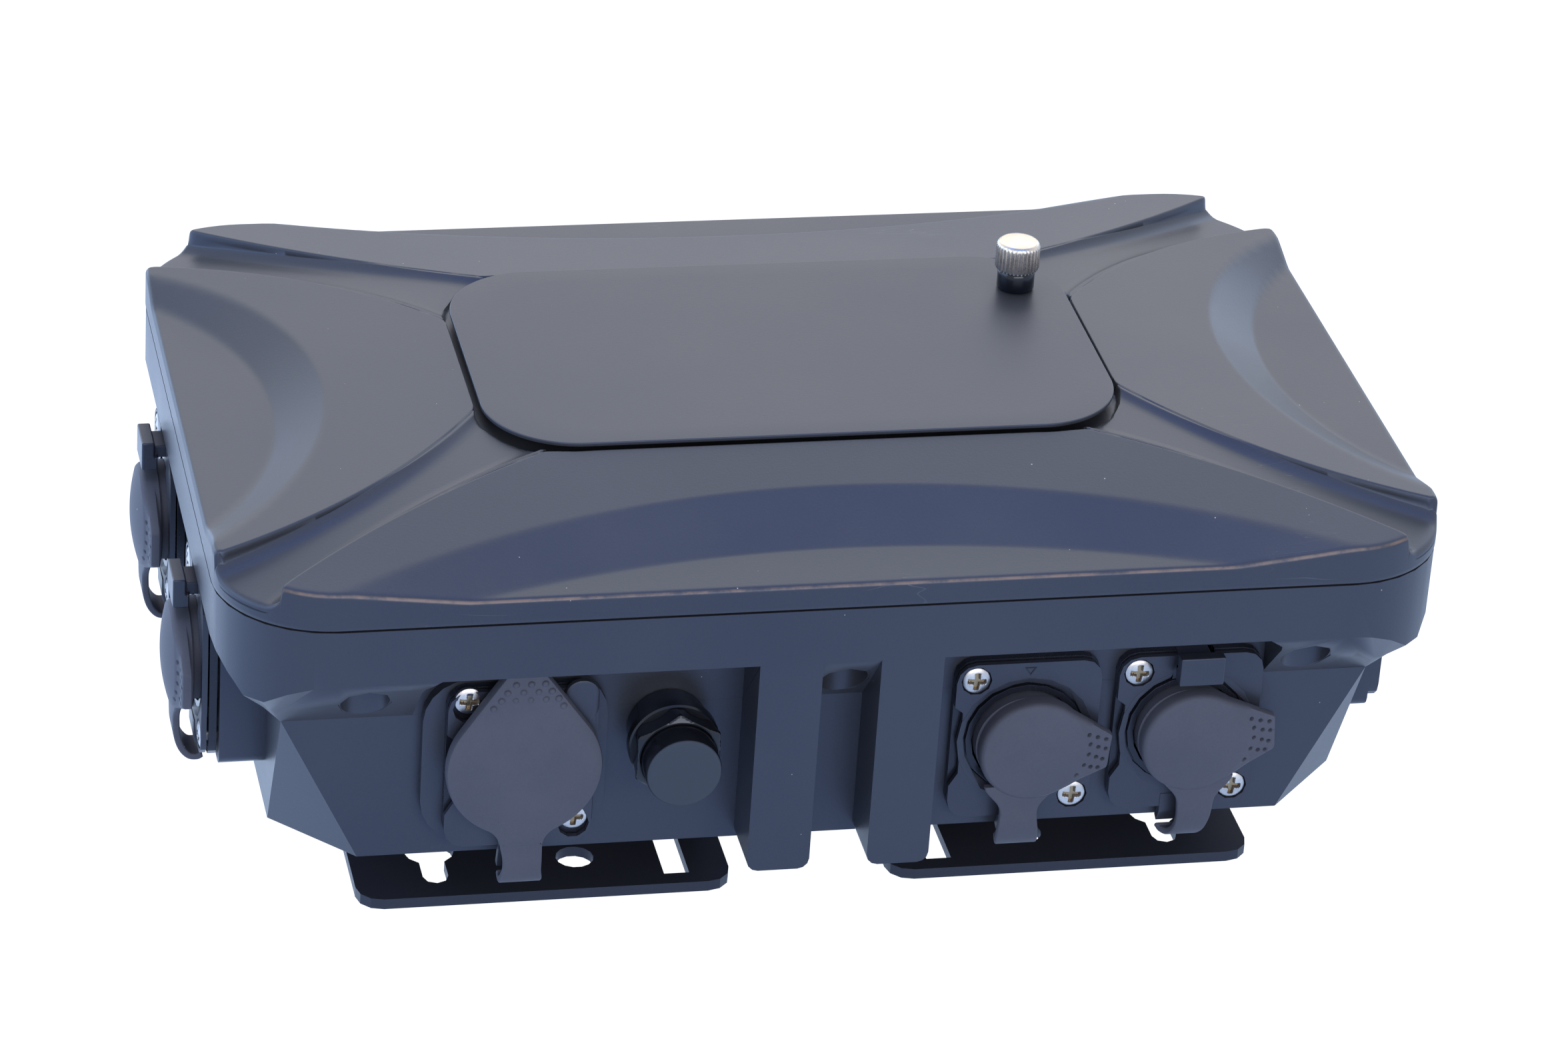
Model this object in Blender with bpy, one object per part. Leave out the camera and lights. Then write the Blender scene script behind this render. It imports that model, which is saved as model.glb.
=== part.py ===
# DMX splitter: a shallow metal box with a flared rim, standing on two mounting plates.
# The front is at -Y and the lid is on top. Sizes are in millimetres times MM, so in metres.
# Sockets and the fuse are modelled in their own frame, with X right, Y up and Z out of the wall.

import math

import bmesh
import bpy
from mathutils import Matrix, Vector

MM = 0.001

# Clearances
SEAT = 0.3 * MM
SLIDE = 0.4 * MM
# A small step where two faces would otherwise lie in one plane
STEP = 0.1 * MM

# Machine screws that hold the lid and the mounting plates
SCREW = 3.0 * MM
SCREW_HOLE = SCREW + 2 * SEAT
SCREW_HEAD = SCREW + 2.6 * MM
SCREW_HEAD_HIGH = 2.0 * MM

# Barrel of a socket. The flanges follow it, and so do the heights of the walls and the rim
BARREL = 23.4 * MM

# Housing, in half widths from its middle. The wall stands in from the rim by the flare
RIM_X = 107.4 * MM
RIM_Y = 70.2 * MM
RIM_RADIUS = 19.5 * MM
FLARE_X = 11.4 * MM
FLARE_Y = 12.0 * MM
WALL_X = RIM_X - FLARE_X
WALL_Y = RIM_Y - FLARE_Y
WALL = 3.0 * MM
FACET_X = 13.7 * MM
FACET_Y = 14.2 * MM
BULGE_PART = 0.35
BULGE_RADIUS = 4.0 * MM
CAVITY_RADIUS = 5.0 * MM

# Heights of the housing
FLOOR_Z = 14.7 * MM
FACET_Z = FLOOR_Z + BARREL + 4.5 * MM
RIM_Z = FACET_Z + 12.7 * MM
SEAM_Z = RIM_Z + 11.0 * MM
LID_Z = SEAM_Z + 2 * SEAT
DECK_Z = LID_Z + 11.3 * MM

# Legs
LEG_INNER = 5.1 * MM
LEG_OUTER = LEG_INNER + 11.0 * MM
LEG_RADIUS = 2.0 * MM

# Gasket, and bosses on the floor
GASKET_INSET = 9.4 * MM
GASKET_WIDTH = 3.2 * MM
GASKET_DEPTH = 1.6 * MM
BOSS = 7.0 * MM
PLATE_BOSS = SCREW_HOLE + 4.4 * MM

# Lid: a flat deck, four petals that slope down from it, and channels between them
DECK_X = 57.9 * MM
DECK_Y = 33.8 * MM
PETAL_EDGE_FRONT = DECK_Z - 4.6 * MM
PETAL_EDGE_SIDE = DECK_Z - 4.7 * MM
CHANNEL_EDGE = DECK_Z - 8.9 * MM
CHANNEL_INNER = ((DECK_X, DECK_Y - 17.6 * MM), (DECK_X - 8.4 * MM, DECK_Y))
CHANNEL_OUTER = ((RIM_X - 0.1 * MM, RIM_Y - 15.8 * MM), (RIM_X - 9.1 * MM, RIM_Y - 3.3 * MM))
# Each arc of a scoop is half its chord at the lid's edge, and its middle's place
SCOOP_FRONT = ((RIM_X - 40.4 * MM, RIM_Y - 11.2 * MM), (RIM_X - 19.4 * MM, RIM_Y - 23.7 * MM))
SCOOP_SIDE = ((RIM_Y - 28.2 * MM, RIM_X - 16.4 * MM), (RIM_Y - 20.2 * MM, RIM_X - 25.4 * MM))
SCOOP_FLOOR = DECK_Z - 6.2 * MM
SCOOP_EDGE = DECK_Z - 7.0 * MM
HOLLOW_X = RIM_X - 29.4 * MM
HOLLOW_Y = RIM_Y - 28.2 * MM
HOLLOW_Z = DECK_Z - 6.7 * MM
HOLLOW_RADIUS = 8.0 * MM
LIP = 2.0 * MM
LIP_DEPTH = 2.4 * MM
WINDOW_X = 31.0 * MM
WINDOW_Y = 14.0 * MM
LID_SCREW_X = RIM_X - 24.8 * MM
LID_SCREW_Y = RIM_Y - 6.2 * MM
LID_SCREW_SEAT = SEAM_Z - 6.3 * MM
LID_SCREW_WELL = SCREW_HEAD + 3.6 * MM
LID_SCREW_LONG = 10.0 * MM

# Cover plate and thumbscrew
COVER_X = DECK_X - 1.1 * MM
COVER_Y = DECK_Y - 0.7 * MM
COVER_RADIUS = 14.5 * MM
COVER_LOW = DECK_Z + SLIDE
COVER_HIGH = COVER_LOW + 1.6 * MM
THUMB_X = COVER_X - 8.8 * MM
THUMB_Y = COVER_Y - 13.1 * MM
THUMB_HEAD = 8.1 * MM
THUMB_FACE = 7.2 * MM
THUMB_RIDGES = 28
THUMB_KNURL = 0.3 * MM
COLLAR = 6.85 * MM
COLLAR_TOP = COVER_HIGH + 2.8 * MM
THUMB_TOP = COLLAR_TOP + 6.5 * MM

# Mounting plates
PLATE = 2.0 * MM
PLATE_IN = 14.2 * MM
PLATE_OUT = 80.8 * MM
PLATE_FRONT = 52.7 * MM
PLATE_RADIUS = 4.5 * MM
WEB_Y = 23.0 * MM
BEND = 3.0 * MM
KEYHOLE_X = 66.3 * MM
KEYHOLE_Y = 37.5 * MM
KEYHOLE_TIP = 48.3 * MM
KEYHOLE_SLOT = 4.5 * MM
KEYHOLE_HEAD = 9.0 * MM
ROUND_HOLE_X = 40.9 * MM
ROUND_HOLE_Y = 42.3 * MM
ROUND_HOLE = 6.8 * MM
SLOT_X = 23.8 * MM
SLOT_WIDTH = 4.5 * MM
SLOT_Y = (33.0 * MM, 49.4 * MM)
BRACKET_SCREW_X = (25.5 * MM, 69.5 * MM)
BRACKET_SCREW_LONG = 6.2 * MM

# Sockets, from the barrel outwards
BARREL_DEPTH = 18.0 * MM
BORE = BARREL + 2 * SLIDE
OPENING_DEPTH = 14.0 * MM
NECK = BARREL - 2.2 * MM
SOCKET = NECK - 2.2 * MM
FLANGE_X = BARREL + 2.6 * MM
FLANGE_Y = BARREL + 7.6 * MM
FLANGE_RADIUS = 3.5 * MM
FLANGE = 1.4 * MM
FRAME = 1.0 * MM
FRAME_LOW = SEAT + FLANGE + SEAT
FRAME_HIGH = FRAME_LOW + FRAME
FRAME_TOP = FLANGE_Y / 2 - 0.3 * MM
FRAME_RING = NECK + 3.2 * MM
FRAME_RING_HIGH = 0.6 * MM
NECK_HIGH = FRAME_LOW + 0.7 * MM
FIXING = 2.4 * MM
FIXING_X = FLANGE_X / 2 - 3.5 * MM
FIXING_Y = FLANGE_Y / 2 - 3.5 * MM
FIXING_HEAD = FIXING + 2.5 * MM
FIXING_HEAD_HIGH = 1.3 * MM
FIXING_LONG = 8.0 * MM
CONTACT_RING = SOCKET - 6.6 * MM
CONTACT_ANGLES = (198, 234, 270, 306, 342)
PIN = 1.6 * MM
PIN_HOLE = PIN + 2 * SEAT
CONTACT_TIP = -5.5 * MM
BLADES = ((-4.5 * MM, 2.5 * MM), (4.5 * MM, 2.5 * MM), (0.0, -4.5 * MM))
BLADE_X = 3.2 * MM
BLADE_Y = 1.0 * MM

# Fuse
FUSE_NECK = 11.4 * MM
FUSE_NECK_FACE = 9.4 * MM
FUSE_HOLE = FUSE_NECK + 2 * SLIDE
FUSE_BACK = -30.0 * MM
FUSE_SHOULDER = FUSE_NECK + 4.6 * MM
FUSE_NUT = FUSE_NECK + 2.6 * MM
FUSE_NUT_THICK = 5.2 * MM
FUSE_WASHER = FUSE_NUT + 2.4 * MM
FUSE_WASHER_THICK = 2.3 * MM
FUSE_BORE = FUSE_NECK - 2.6 * MM
FUSE_CAP = FUSE_NECK + 1.7 * MM
FUSE_CAP_FACE = FUSE_NECK_FACE + 7.4 * MM
FUSE_CAP_EDGE = 0.8 * MM
CARTRIDGE = 5.0 * MM
CARTRIDGE_LOW = -14.0 * MM
CARTRIDGE_HIGH = CARTRIDGE_LOW + 20.0 * MM
CARTRIDGE_HELD = 3.0 * MM

# Places of the sockets and the fuse
DATA_IN_X = LEG_OUTER + FLANGE_X / 2 + 5.0 * MM
DATA_OUT_X = DATA_IN_X + FLANGE_X + 3.15 * MM
FRONT_SOCKET_Z = FLOOR_Z + FLANGE_Y / 2 + 3.2 * MM
SIDE_FACE_X = WALL_X + 8.0 * MM
SIDE_SOCKET_Y = 25.0 * MM
SIDE_SOCKET_Z = RIM_Z - FLANGE_Y / 2 - 1.1 * MM
FUSE_X = -LEG_OUTER - FUSE_WASHER / 2 - 4.9 * MM
FUSE_Z = FRONT_SOCKET_Z + 5.0 * MM
POWER_X = FUSE_X - FUSE_WASHER / 2 - FLANGE_X / 2 - 4.8 * MM
POWER_Z = FRONT_SOCKET_Z + 1.0 * MM
POWER_FACE_Y = WALL_Y + 2.3 * MM
PAD_X = (POWER_X - FLANGE_X / 2 - 3.8 * MM, POWER_X + FLANGE_X / 2 + 2.2 * MM)
PAD_Z = (POWER_Z - FLANGE_Y / 2 - 0.4 * MM, POWER_Z + FLANGE_Y / 2 + 0.5 * MM)
PAD_RADIUS = 8.0 * MM
PEDESTAL = FLANGE_X / 2 + 1.2 * MM
PEDESTAL_LOW = SIDE_SOCKET_Z - FLANGE_Y / 2 - 0.6 * MM
POCKET_LEFT = 1.5 * MM - PAD_X[0]
POCKET_RIGHT = DATA_OUT_X + FLANGE_X / 2 + 0.75 * MM
POCKET_SIDE = SIDE_SOCKET_Y + PEDESTAL + 1.3 * MM
POCKET_RADIUS = 3.0 * MM

# Rubber caps
CAP = SOCKET + 1.4 * MM
CAP_X = 1.0 * MM
CAP_LOW = FRAME_HIGH + FRAME_RING_HIGH + SLIDE
CAP_FACE = CAP_LOW + 3.2 * MM
CAP_EDGE = 0.6 * MM
CAP_DOME = 0.8 * MM
CAP_TAB = CAP / 2 + 3.7 * MM
CAP_TAB_WIDTH = 7.4 * MM
CAP_TAB_THICK = 2.1 * MM
CAP_PLUG = SOCKET - 2 * SLIDE
CAP_PLUG_LOW = 1.2 * MM
HINGE_Y = -FLANGE_Y / 2 - 4.9 * MM
HINGE_Z = 2.4 * MM
KNUCKLE = 1.5 * MM
STRAP = 6.8 * MM
STRAP_THICK = 1.3 * MM
STRAP_END = CAP / 2 - 1.8 * MM
POWER_CAP = CAP + 6.1 * MM
POWER_CAP_Y = 1.8 * MM
POWER_CAP_TAB = FLANGE_Y / 2 + 4.3 * MM
POWER_CAP_TIP = 6.6 * MM
POWER_CAP_FOOT_X = 4.6 * MM
POWER_CAP_FOOT_Y = POWER_CAP_Y - POWER_CAP / 2 - 2.15 * MM
POWER_STRAP_END = STRAP_END + 1.0 * MM
POWER_HINGE_Y = -FLANGE_Y / 2 - 6.5 * MM

# Push latches of the outputs
LATCH_TRAVEL = 1.0 * MM
LATCH_X = (-3.0 * MM, 5.0 * MM)
LATCH_Y = (CAP / 2 + 0.5 * MM, CAP / 2 + 3.0 * MM, CAP / 2 + 6.0 * MM)
LATCH_Z = (FRAME_HIGH + LATCH_TRAVEL + SLIDE, 5.0 * MM, 7.3 * MM)
STEM_X = (-2.4 * MM, 3.6 * MM)
STEM_Y = (CAP / 2 + 2.3 * MM, CAP / 2 + 4.7 * MM)
STEM_LOW = -1.2 * MM
LATCH_SLOT_Y = BORE / 2 - 1.1 * MM

# Boards, as left, right, front and back edges
BOARD = 1.6 * MM
BOARD_Z = FLOOR_Z + WALL + 5.3 * MM
BOARD_HOLE_INSET = 4.0 * MM
BOARD_BACK = WALL_Y - WALL - 7.2 * MM
MAIN_BOARD = (6.0 * MM, WALL_X - WALL - 7.0 * MM, BARREL_DEPTH + 6.2 * MM - WALL_Y, BOARD_BACK)
POWER_BOARD = (18.0 * MM - WALL_X, -6.0 * MM, 6.2 * MM - FUSE_BACK - WALL_Y, BOARD_BACK)
SELECTOR_X = 42.0 * MM
SELECTOR_Y = 22.0 * MM
SELECTOR_Z = DECK_Z - 9.2 * MM
SELECTOR_INSET = 3.8 * MM
PILLAR = 5.0 * MM
# Parts on the boards, in millimetres from the board's middle: (x, y, size x, size y, height)
MAIN_PARTS = ((0, -32, 24, 8, 11), (34, -32, 6, 12, 9))
POWER_PARTS = ((-14, 13, 30, 26, 24), (18, 21, 12, 12, 18), (18, 1, 12, 12, 18), (-10, -21, 20, 10, 12),
               (22, -21, 10, 16, 14))
CHIP = (8, 6, 4)
CHIP_ROWS = 3
CHIP_COLUMNS = 4
SWITCH = (9, 10, 2.8)
SWITCHES = 4

# How far a cutter goes past the solid that it cuts
BEYOND = 12.0 * MM
# How far a joined solid reaches into its neighbour
INSIDE = 1.5 * MM

ROUND_STEPS = 20
FUSE_STEPS = 16
SMALL_STEPS = 10
HIDDEN_STEPS = 8
BORE_STEPS = 6
BEND_STEPS = 3
INNER_BEND_STEPS = 2

# Colour, roughness and metallic value of each finish
FINISHES = {
    "paint": ((0.080, 0.095, 0.135), 0.42, 0.0),
    "plate_paint": ((0.012, 0.014, 0.020), 0.35, 0.0),
    "rubber": ((0.060, 0.068, 0.090), 0.75, 0.0),
    "seal": ((0.020, 0.020, 0.022), 0.80, 0.0),
    "shell": ((0.030, 0.033, 0.045), 0.35, 0.0),
    "insert": ((0.015, 0.015, 0.017), 0.40, 0.0),
    "steel": ((0.620, 0.630, 0.660), 0.25, 1.0),
    "nickel": ((0.600, 0.570, 0.520), 0.30, 1.0),
    "board": ((0.020, 0.110, 0.050), 0.45, 0.0),
    "glass": ((0.750, 0.780, 0.800), 0.10, 0.0),
}


def clear_scene():
    for item in list(bpy.data.objects):
        bpy.data.objects.remove(item)


def new_empty(name, parent=None, location=(0, 0, 0), rotation=(0, 0, 0)):
    empty = bpy.data.objects.new(name, None)
    bpy.context.scene.collection.objects.link(empty)
    empty.parent = parent
    empty.location = location
    empty.rotation_euler = rotation
    return empty


def new_material(name, finish):
    colour, roughness, metallic = FINISHES[finish]
    material = bpy.data.materials.new(name + " " + finish)
    material.use_nodes = True
    shader = material.node_tree.nodes["Principled BSDF"]
    shader.inputs["Base Color"].default_value = (*colour, 1.0)
    shader.inputs["Roughness"].default_value = roughness
    shader.inputs["Metallic"].default_value = metallic
    return material


def add_object(name, shape, parent, location):
    bmesh.ops.remove_doubles(shape, verts=shape.verts, dist=0.001 * MM)
    bmesh.ops.recalc_face_normals(shape, faces=shape.faces)
    mesh = bpy.data.meshes.new(name)
    shape.to_mesh(mesh)
    shape.free()
    item = bpy.data.objects.new(name, mesh)
    bpy.context.scene.collection.objects.link(item)
    item.parent = parent
    item.location = location
    return item


def piece(name, shape, finish, parent, location=(0, 0, 0)):
    item = add_object(name, shape, parent, location)
    item.data.materials.append(new_material(name, finish))
    item.data.shade_smooth()
    item.data.set_sharp_from_angle(angle=math.radians(32))
    return item


def tool(name, shape, parent, location=(0, 0, 0)):
    item = add_object(name, shape, parent, location)
    item.hide_render = True
    item.display_type = "WIRE"
    return item


def combine(target, other, operation):
    modifier = target.modifiers.new(other.name, "BOOLEAN")
    modifier.operation = operation
    modifier.solver = "EXACT"
    modifier.object = other


def cut(target, other):
    combine(target, other, "DIFFERENCE")


def join(target, other):
    combine(target, other, "UNION")


# Outlines are lists of (x, y) points, counterclockwise


def arc(centre, radius, start, end, steps):
    angles = [math.radians(start + (end - start) * step / steps) for step in range(steps + 1)]
    return [(centre[0] + radius * math.cos(a), centre[1] + radius * math.sin(a)) for a in angles]


def circle(radius, steps=ROUND_STEPS, centre=(0, 0)):
    return arc(centre, radius, 0, 360, steps)[:-1]


def rounded_outline(half_x, half_y, radius, steps=BEND_STEPS, centre=(0, 0)):
    points = []
    for start, side_x, side_y in ((0, 1, 1), (90, -1, 1), (180, -1, -1), (270, 1, -1)):
        corner = (centre[0] + side_x * (half_x - radius), centre[1] + side_y * (half_y - radius))
        points += arc(corner, radius, start, start + 90, steps)
    return points


def chamfered_outline(half_x, half_y, chamfer_x, chamfer_y, steps):
    # Each chamfer has as many points as a rounded corner, so the two can be lofted
    points = []
    for corner, (side_x, side_y) in enumerate(((1, 1), (-1, 1), (-1, -1), (1, -1))):
        first = (side_x * half_x, side_y * (half_y - chamfer_y))
        last = (side_x * (half_x - chamfer_x), side_y * half_y)
        if corner % 2:
            first, last = last, first
        for step in range(steps + 1):
            part = step / steps
            points.append(tuple(Vector(first).lerp(Vector(last), part)))
    return points


# Solids are added to a mesh, turned and moved by a placement


def add_loft(shape, rings, placement=Matrix(), closed=False):
    # A ring of one point is a pole, where the solid comes together
    corners = [[shape.verts.new(placement @ Vector(point)) for point in ring] for ring in rings]
    count = max(len(ring) for ring in rings)
    pairs = list(zip(corners, corners[1:]))
    if closed:
        pairs.append((corners[-1], corners[0]))
    else:
        for end in (corners[0], corners[-1]):
            if len(end) > 1:
                shape.faces.new(end)
    for low, high in pairs:
        for index in range(count):
            after = (index + 1) % count
            face = [low[index % len(low)], low[after % len(low)]]
            face += [high[after % len(high)], high[index % len(high)]]
            shape.faces.new(dict.fromkeys(face))


def add_prism(shape, outline, low, high, placement=Matrix()):
    rings = [[(x, y, z) for x, y in outline] for z in (low, high)]
    add_loft(shape, rings, placement)


def add_block(shape, x, y, z, placement=Matrix()):
    outline = [(x[0], y[0]), (x[1], y[0]), (x[1], y[1]), (x[0], y[1])]
    add_prism(shape, outline, z[0], z[1], placement)


def add_turned(shape, profile, steps=ROUND_STEPS, placement=Matrix(), closed=False):
    # The profile is a list of (radius, z); a closed one makes a ring
    rings = []
    for radius, z in profile:
        rings.append([(x, y, z) for x, y in circle(radius, steps)] if radius else [(0, 0, z)])
    add_loft(shape, rings, placement, closed)


def block_shape(x, y, z):
    shape = bmesh.new()
    add_block(shape, x, y, z)
    return shape


def prism_shape(outline, low, high, placement=Matrix()):
    shape = bmesh.new()
    add_prism(shape, outline, low, high, placement)
    return shape


def turned_shape(profile, steps=ROUND_STEPS, closed=False):
    shape = bmesh.new()
    add_turned(shape, profile, steps, closed=closed)
    return shape


# A plan drawn in (y, z) and pushed along x
ALONG_X = Matrix(((0, 0, 1, 0), (1, 0, 0, 0), (0, 1, 0, 0), (0, 0, 0, 1)))
# A plan drawn in (x, z) and pushed along -y
ALONG_Y = Matrix(((1, 0, 0, 0), (0, 0, -1, 0), (0, 1, 0, 0), (0, 0, 0, 1)))


def bent_strip(points, thickness, radius, steps=BEND_STEPS):
    # Outline of a sheet along a line of straight runs, with an arc at each bend
    path = [Vector(points[0])]
    for before, corner, after in zip(points, points[1:], points[2:]):
        corner = Vector(corner)
        inward = (Vector(before) - corner).normalized()
        outward = (Vector(after) - corner).normalized()
        half = inward.angle(outward) / 2
        start = corner + inward * (radius / math.tan(half))
        middle = corner + (inward + outward).normalized() * (radius / math.sin(half))
        first = math.degrees(math.atan2(start.y - middle.y, start.x - middle.x))
        sweep = math.copysign(180 - 2 * math.degrees(half), outward.cross(inward))
        path += [Vector(point) for point in arc(middle, radius, first, first + sweep, steps)]
    path.append(Vector(points[-1]))
    left = []
    right = []
    for index, point in enumerate(path):
        along = path[min(index + 1, len(path) - 1)] - path[max(index - 1, 0)]
        if 0 < index < len(path) - 1:
            first = (path[index + 1] - point).normalized()
            second = (point - path[index - 1]).normalized()
            along = first + second
        side = Vector((-along.y, along.x)).normalized() * thickness / 2
        left.append(tuple(point + side))
        right.append(tuple(point - side))
    return right + left[::-1]


# Housing


def base_shape():
    steps = 7
    bottom = chamfered_outline(WALL_X, WALL_Y, FACET_X, FACET_Y, steps)
    sharp = chamfered_outline(WALL_X, WALL_Y, 0, 0, steps)
    rim = rounded_outline(RIM_X, RIM_Y, RIM_RADIUS, steps)
    # The corner is still tight part of the way up the flare, which makes it bulge there
    out_x, out_y, out_z = (BULGE_PART * run for run in (RIM_X - WALL_X, RIM_Y - WALL_Y, RIM_Z - FACET_Z))
    bulge = rounded_outline(WALL_X + out_x, WALL_Y + out_y, BULGE_RADIUS, steps)
    levels = ((bottom, FLOOR_Z), (sharp, FACET_Z), (bulge, FACET_Z + out_z), (rim, RIM_Z), (rim, SEAM_Z))
    shape = bmesh.new()
    add_loft(shape, [[(x, y, z) for x, y in outline] for outline, z in levels])
    return shape


def pocket_shape():
    # The flare is missing over the sockets, between the legs and the corners
    shape = bmesh.new()
    low, high = FLOOR_Z - BEYOND, RIM_Z
    radius = POCKET_RADIUS
    for side, end in ((-1, POCKET_LEFT), (1, POCKET_RIGHT)):
        outline = [(LEG_OUTER, low), (end, low)]
        outline += arc((end - radius, high - radius), radius, 0, 90, BEND_STEPS)
        outline.append((LEG_OUTER, high))
        add_prism(shape, [(side * x, z) for x, z in outline], WALL_Y + STEP, RIM_Y + BEYOND, ALONG_Y)
    end = POCKET_SIDE
    outline = [(-end, low), (end, low)]
    outline += arc((end - radius, high - radius), radius, 0, 90, BEND_STEPS)
    outline += arc((radius - end, high - radius), radius, 90, 180, BEND_STEPS)
    for near, far in ((-RIM_X - BEYOND, -WALL_X - STEP), (WALL_X + STEP, RIM_X + BEYOND)):
        add_prism(shape, outline, near, far, ALONG_X)
    return shape


def foot_outline(left, right, low):
    # An upright bar with rounded lower corners, which ends inside the rim
    radius = LEG_RADIUS
    outline = arc((left + radius, low + radius), radius, 180, 270, BEND_STEPS)
    outline += arc((right - radius, low + radius), radius, 270, 360, BEND_STEPS)
    return outline + [(right, RIM_Z + INSIDE), (left, RIM_Z + INSIDE)]


def outside_shape():
    # Legs, the pad of the power inlet and the pedestals of the side sockets
    shape = bmesh.new()
    for side in (-1, 1):
        leg = [(side * x, z) for x, z in foot_outline(LEG_INNER, LEG_OUTER, FLOOR_Z + STEP)]
        add_prism(shape, leg, WALL_Y - INSIDE, RIM_Y - STEP, ALONG_Y)
        add_prism(shape, leg, STEP - RIM_Y, INSIDE - WALL_Y, ALONG_Y)
        for middle in (-SIDE_SOCKET_Y, SIDE_SOCKET_Y):
            pedestal = foot_outline(middle - PEDESTAL, middle + PEDESTAL, PEDESTAL_LOW)
            near, far = sorted((side * (WALL_X - INSIDE), side * SIDE_FACE_X))
            add_prism(shape, pedestal, near, far, ALONG_X)
    centre = (sum(PAD_X) / 2, sum(PAD_Z) / 2)
    pad = rounded_outline(PAD_X[1] - centre[0], PAD_Z[1] - centre[1], PAD_RADIUS, 5, centre)
    add_prism(shape, pad, WALL_Y - INSIDE, POWER_FACE_Y, ALONG_Y)
    return shape


def cavity_shape():
    # The facets inside run parallel to those outside, one wall thickness in
    steps = INNER_BEND_STEPS
    half_x, half_y = WALL_X - WALL, WALL_Y - WALL
    bottom = chamfered_outline(half_x, half_y, FACET_X - WALL, FACET_Y - WALL, steps)
    upright = rounded_outline(half_x, half_y, CAVITY_RADIUS, steps)
    levels = ((bottom, FLOOR_Z + WALL), (upright, FACET_Z - WALL), (upright, SEAM_Z + WALL))
    shape = bmesh.new()
    add_loft(shape, [[(x, y, z) for x, y in outline] for outline, z in levels])
    return shape


def board_corners(board):
    left, right, front, back = board
    inset = BOARD_HOLE_INSET
    return [(x, y) for x in (left + inset, right - inset) for y in (front + inset, back - inset)]


def bracket_screws():
    return [(side * x, 0.0) for side in (-1, 1) for x in BRACKET_SCREW_X]


def boss_shape():
    shape = bmesh.new()
    start = FLOOR_Z + WALL / 2
    for board in (MAIN_BOARD, POWER_BOARD):
        for centre in board_corners(board):
            add_prism(shape, circle(BOSS / 2, BORE_STEPS, centre), start, BOARD_Z - SEAT)
    for centre in bracket_screws():
        add_prism(shape, circle(PLATE_BOSS / 2, HIDDEN_STEPS, centre), start, BOARD_Z - PLATE)
    return shape


def gasket_shape(inset, width, low, high):
    # A ring that follows the rim, with its outer edge at the inset
    shape = bmesh.new()
    rings = []
    for offset, z in ((inset, low), (inset, high), (inset + width, high), (inset + width, low)):
        half_x, half_y = RIM_X - offset, RIM_Y - offset
        outline = rounded_outline(half_x, half_y, RIM_RADIUS - offset, INNER_BEND_STEPS)
        rings.append([(x, y, z) for x, y in outline])
    add_loft(shape, rings, closed=True)
    return shape


def lid_screws():
    return [(x, side * LID_SCREW_Y) for side in (-1, 1) for x in (-LID_SCREW_X, 0.0, LID_SCREW_X)]


def base_hole_shape():
    shape = bmesh.new()
    well, bore = LID_SCREW_WELL / 2, SCREW_HOLE / 2
    for centre in lid_screws():
        hole = [(well, FLOOR_Z), (well, LID_SCREW_SEAT), (bore, LID_SCREW_SEAT), (bore, LID_Z)]
        add_turned(shape, hole, HIDDEN_STEPS, Matrix.Translation((*centre, 0)))
    for centre in bracket_screws():
        add_prism(shape, circle(bore, HIDDEN_STEPS, centre), FLOOR_Z - WALL, BOARD_Z - 2 * PLATE)
    return shape


def add_screw(name, root, place, length):
    # Origin at the seat of the head, with the shank on +Z
    head, shank = SCREW_HEAD / 2, SCREW / 2
    profile = [(0, -SCREW_HEAD_HIGH), (head, -SCREW_HEAD_HIGH), (head, 0)]
    profile += [(shank, 0), (shank, length), (0, length)]
    piece(name, turned_shape(profile, HIDDEN_STEPS), "steel", root, place)


def make_base(root):
    base = piece("housing_base", base_shape(), "paint", root)
    cut(base, tool("pockets", pocket_shape(), root))
    join(base, tool("legs_and_pads", outside_shape(), root))
    cut(base, tool("cavity", cavity_shape(), root))
    join(base, tool("bosses", boss_shape(), root))
    width = GASKET_WIDTH + 2 * SEAT
    groove = gasket_shape(GASKET_INSET - SEAT, width, SEAM_Z - GASKET_DEPTH, SEAM_Z + WALL)
    cut(base, tool("gasket_groove", groove, root))
    cut(base, tool("base_holes", base_hole_shape(), root))
    return base


def make_gasket(root):
    shape = gasket_shape(GASKET_INSET, GASKET_WIDTH, SEAM_Z - GASKET_DEPTH + SEAT, LID_Z - SEAT)
    piece("lid_gasket", shape, "seal", root)


# Lid


def front_petal_z(y):
    return DECK_Z - (abs(y) - DECK_Y) * (DECK_Z - PETAL_EDGE_FRONT) / (RIM_Y - DECK_Y)


def side_petal_z(x):
    return DECK_Z - (abs(x) - DECK_X) * (DECK_Z - PETAL_EDGE_SIDE) / (RIM_X - DECK_X)


def slope_shape(petal_z, start, edge, length, placement):
    # What lies above the two petals on opposite sides of the deck
    top = DECK_Z + BEYOND
    shape = bmesh.new()
    for side in (-1, 1):
        near, far = side * start, side * (edge + BEYOND)
        profile = [(near, top), (near, petal_z(near)), (far, petal_z(far)), (far, top)]
        add_prism(shape, profile, -length - BEYOND, length + BEYOND, placement)
    return shape


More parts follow.
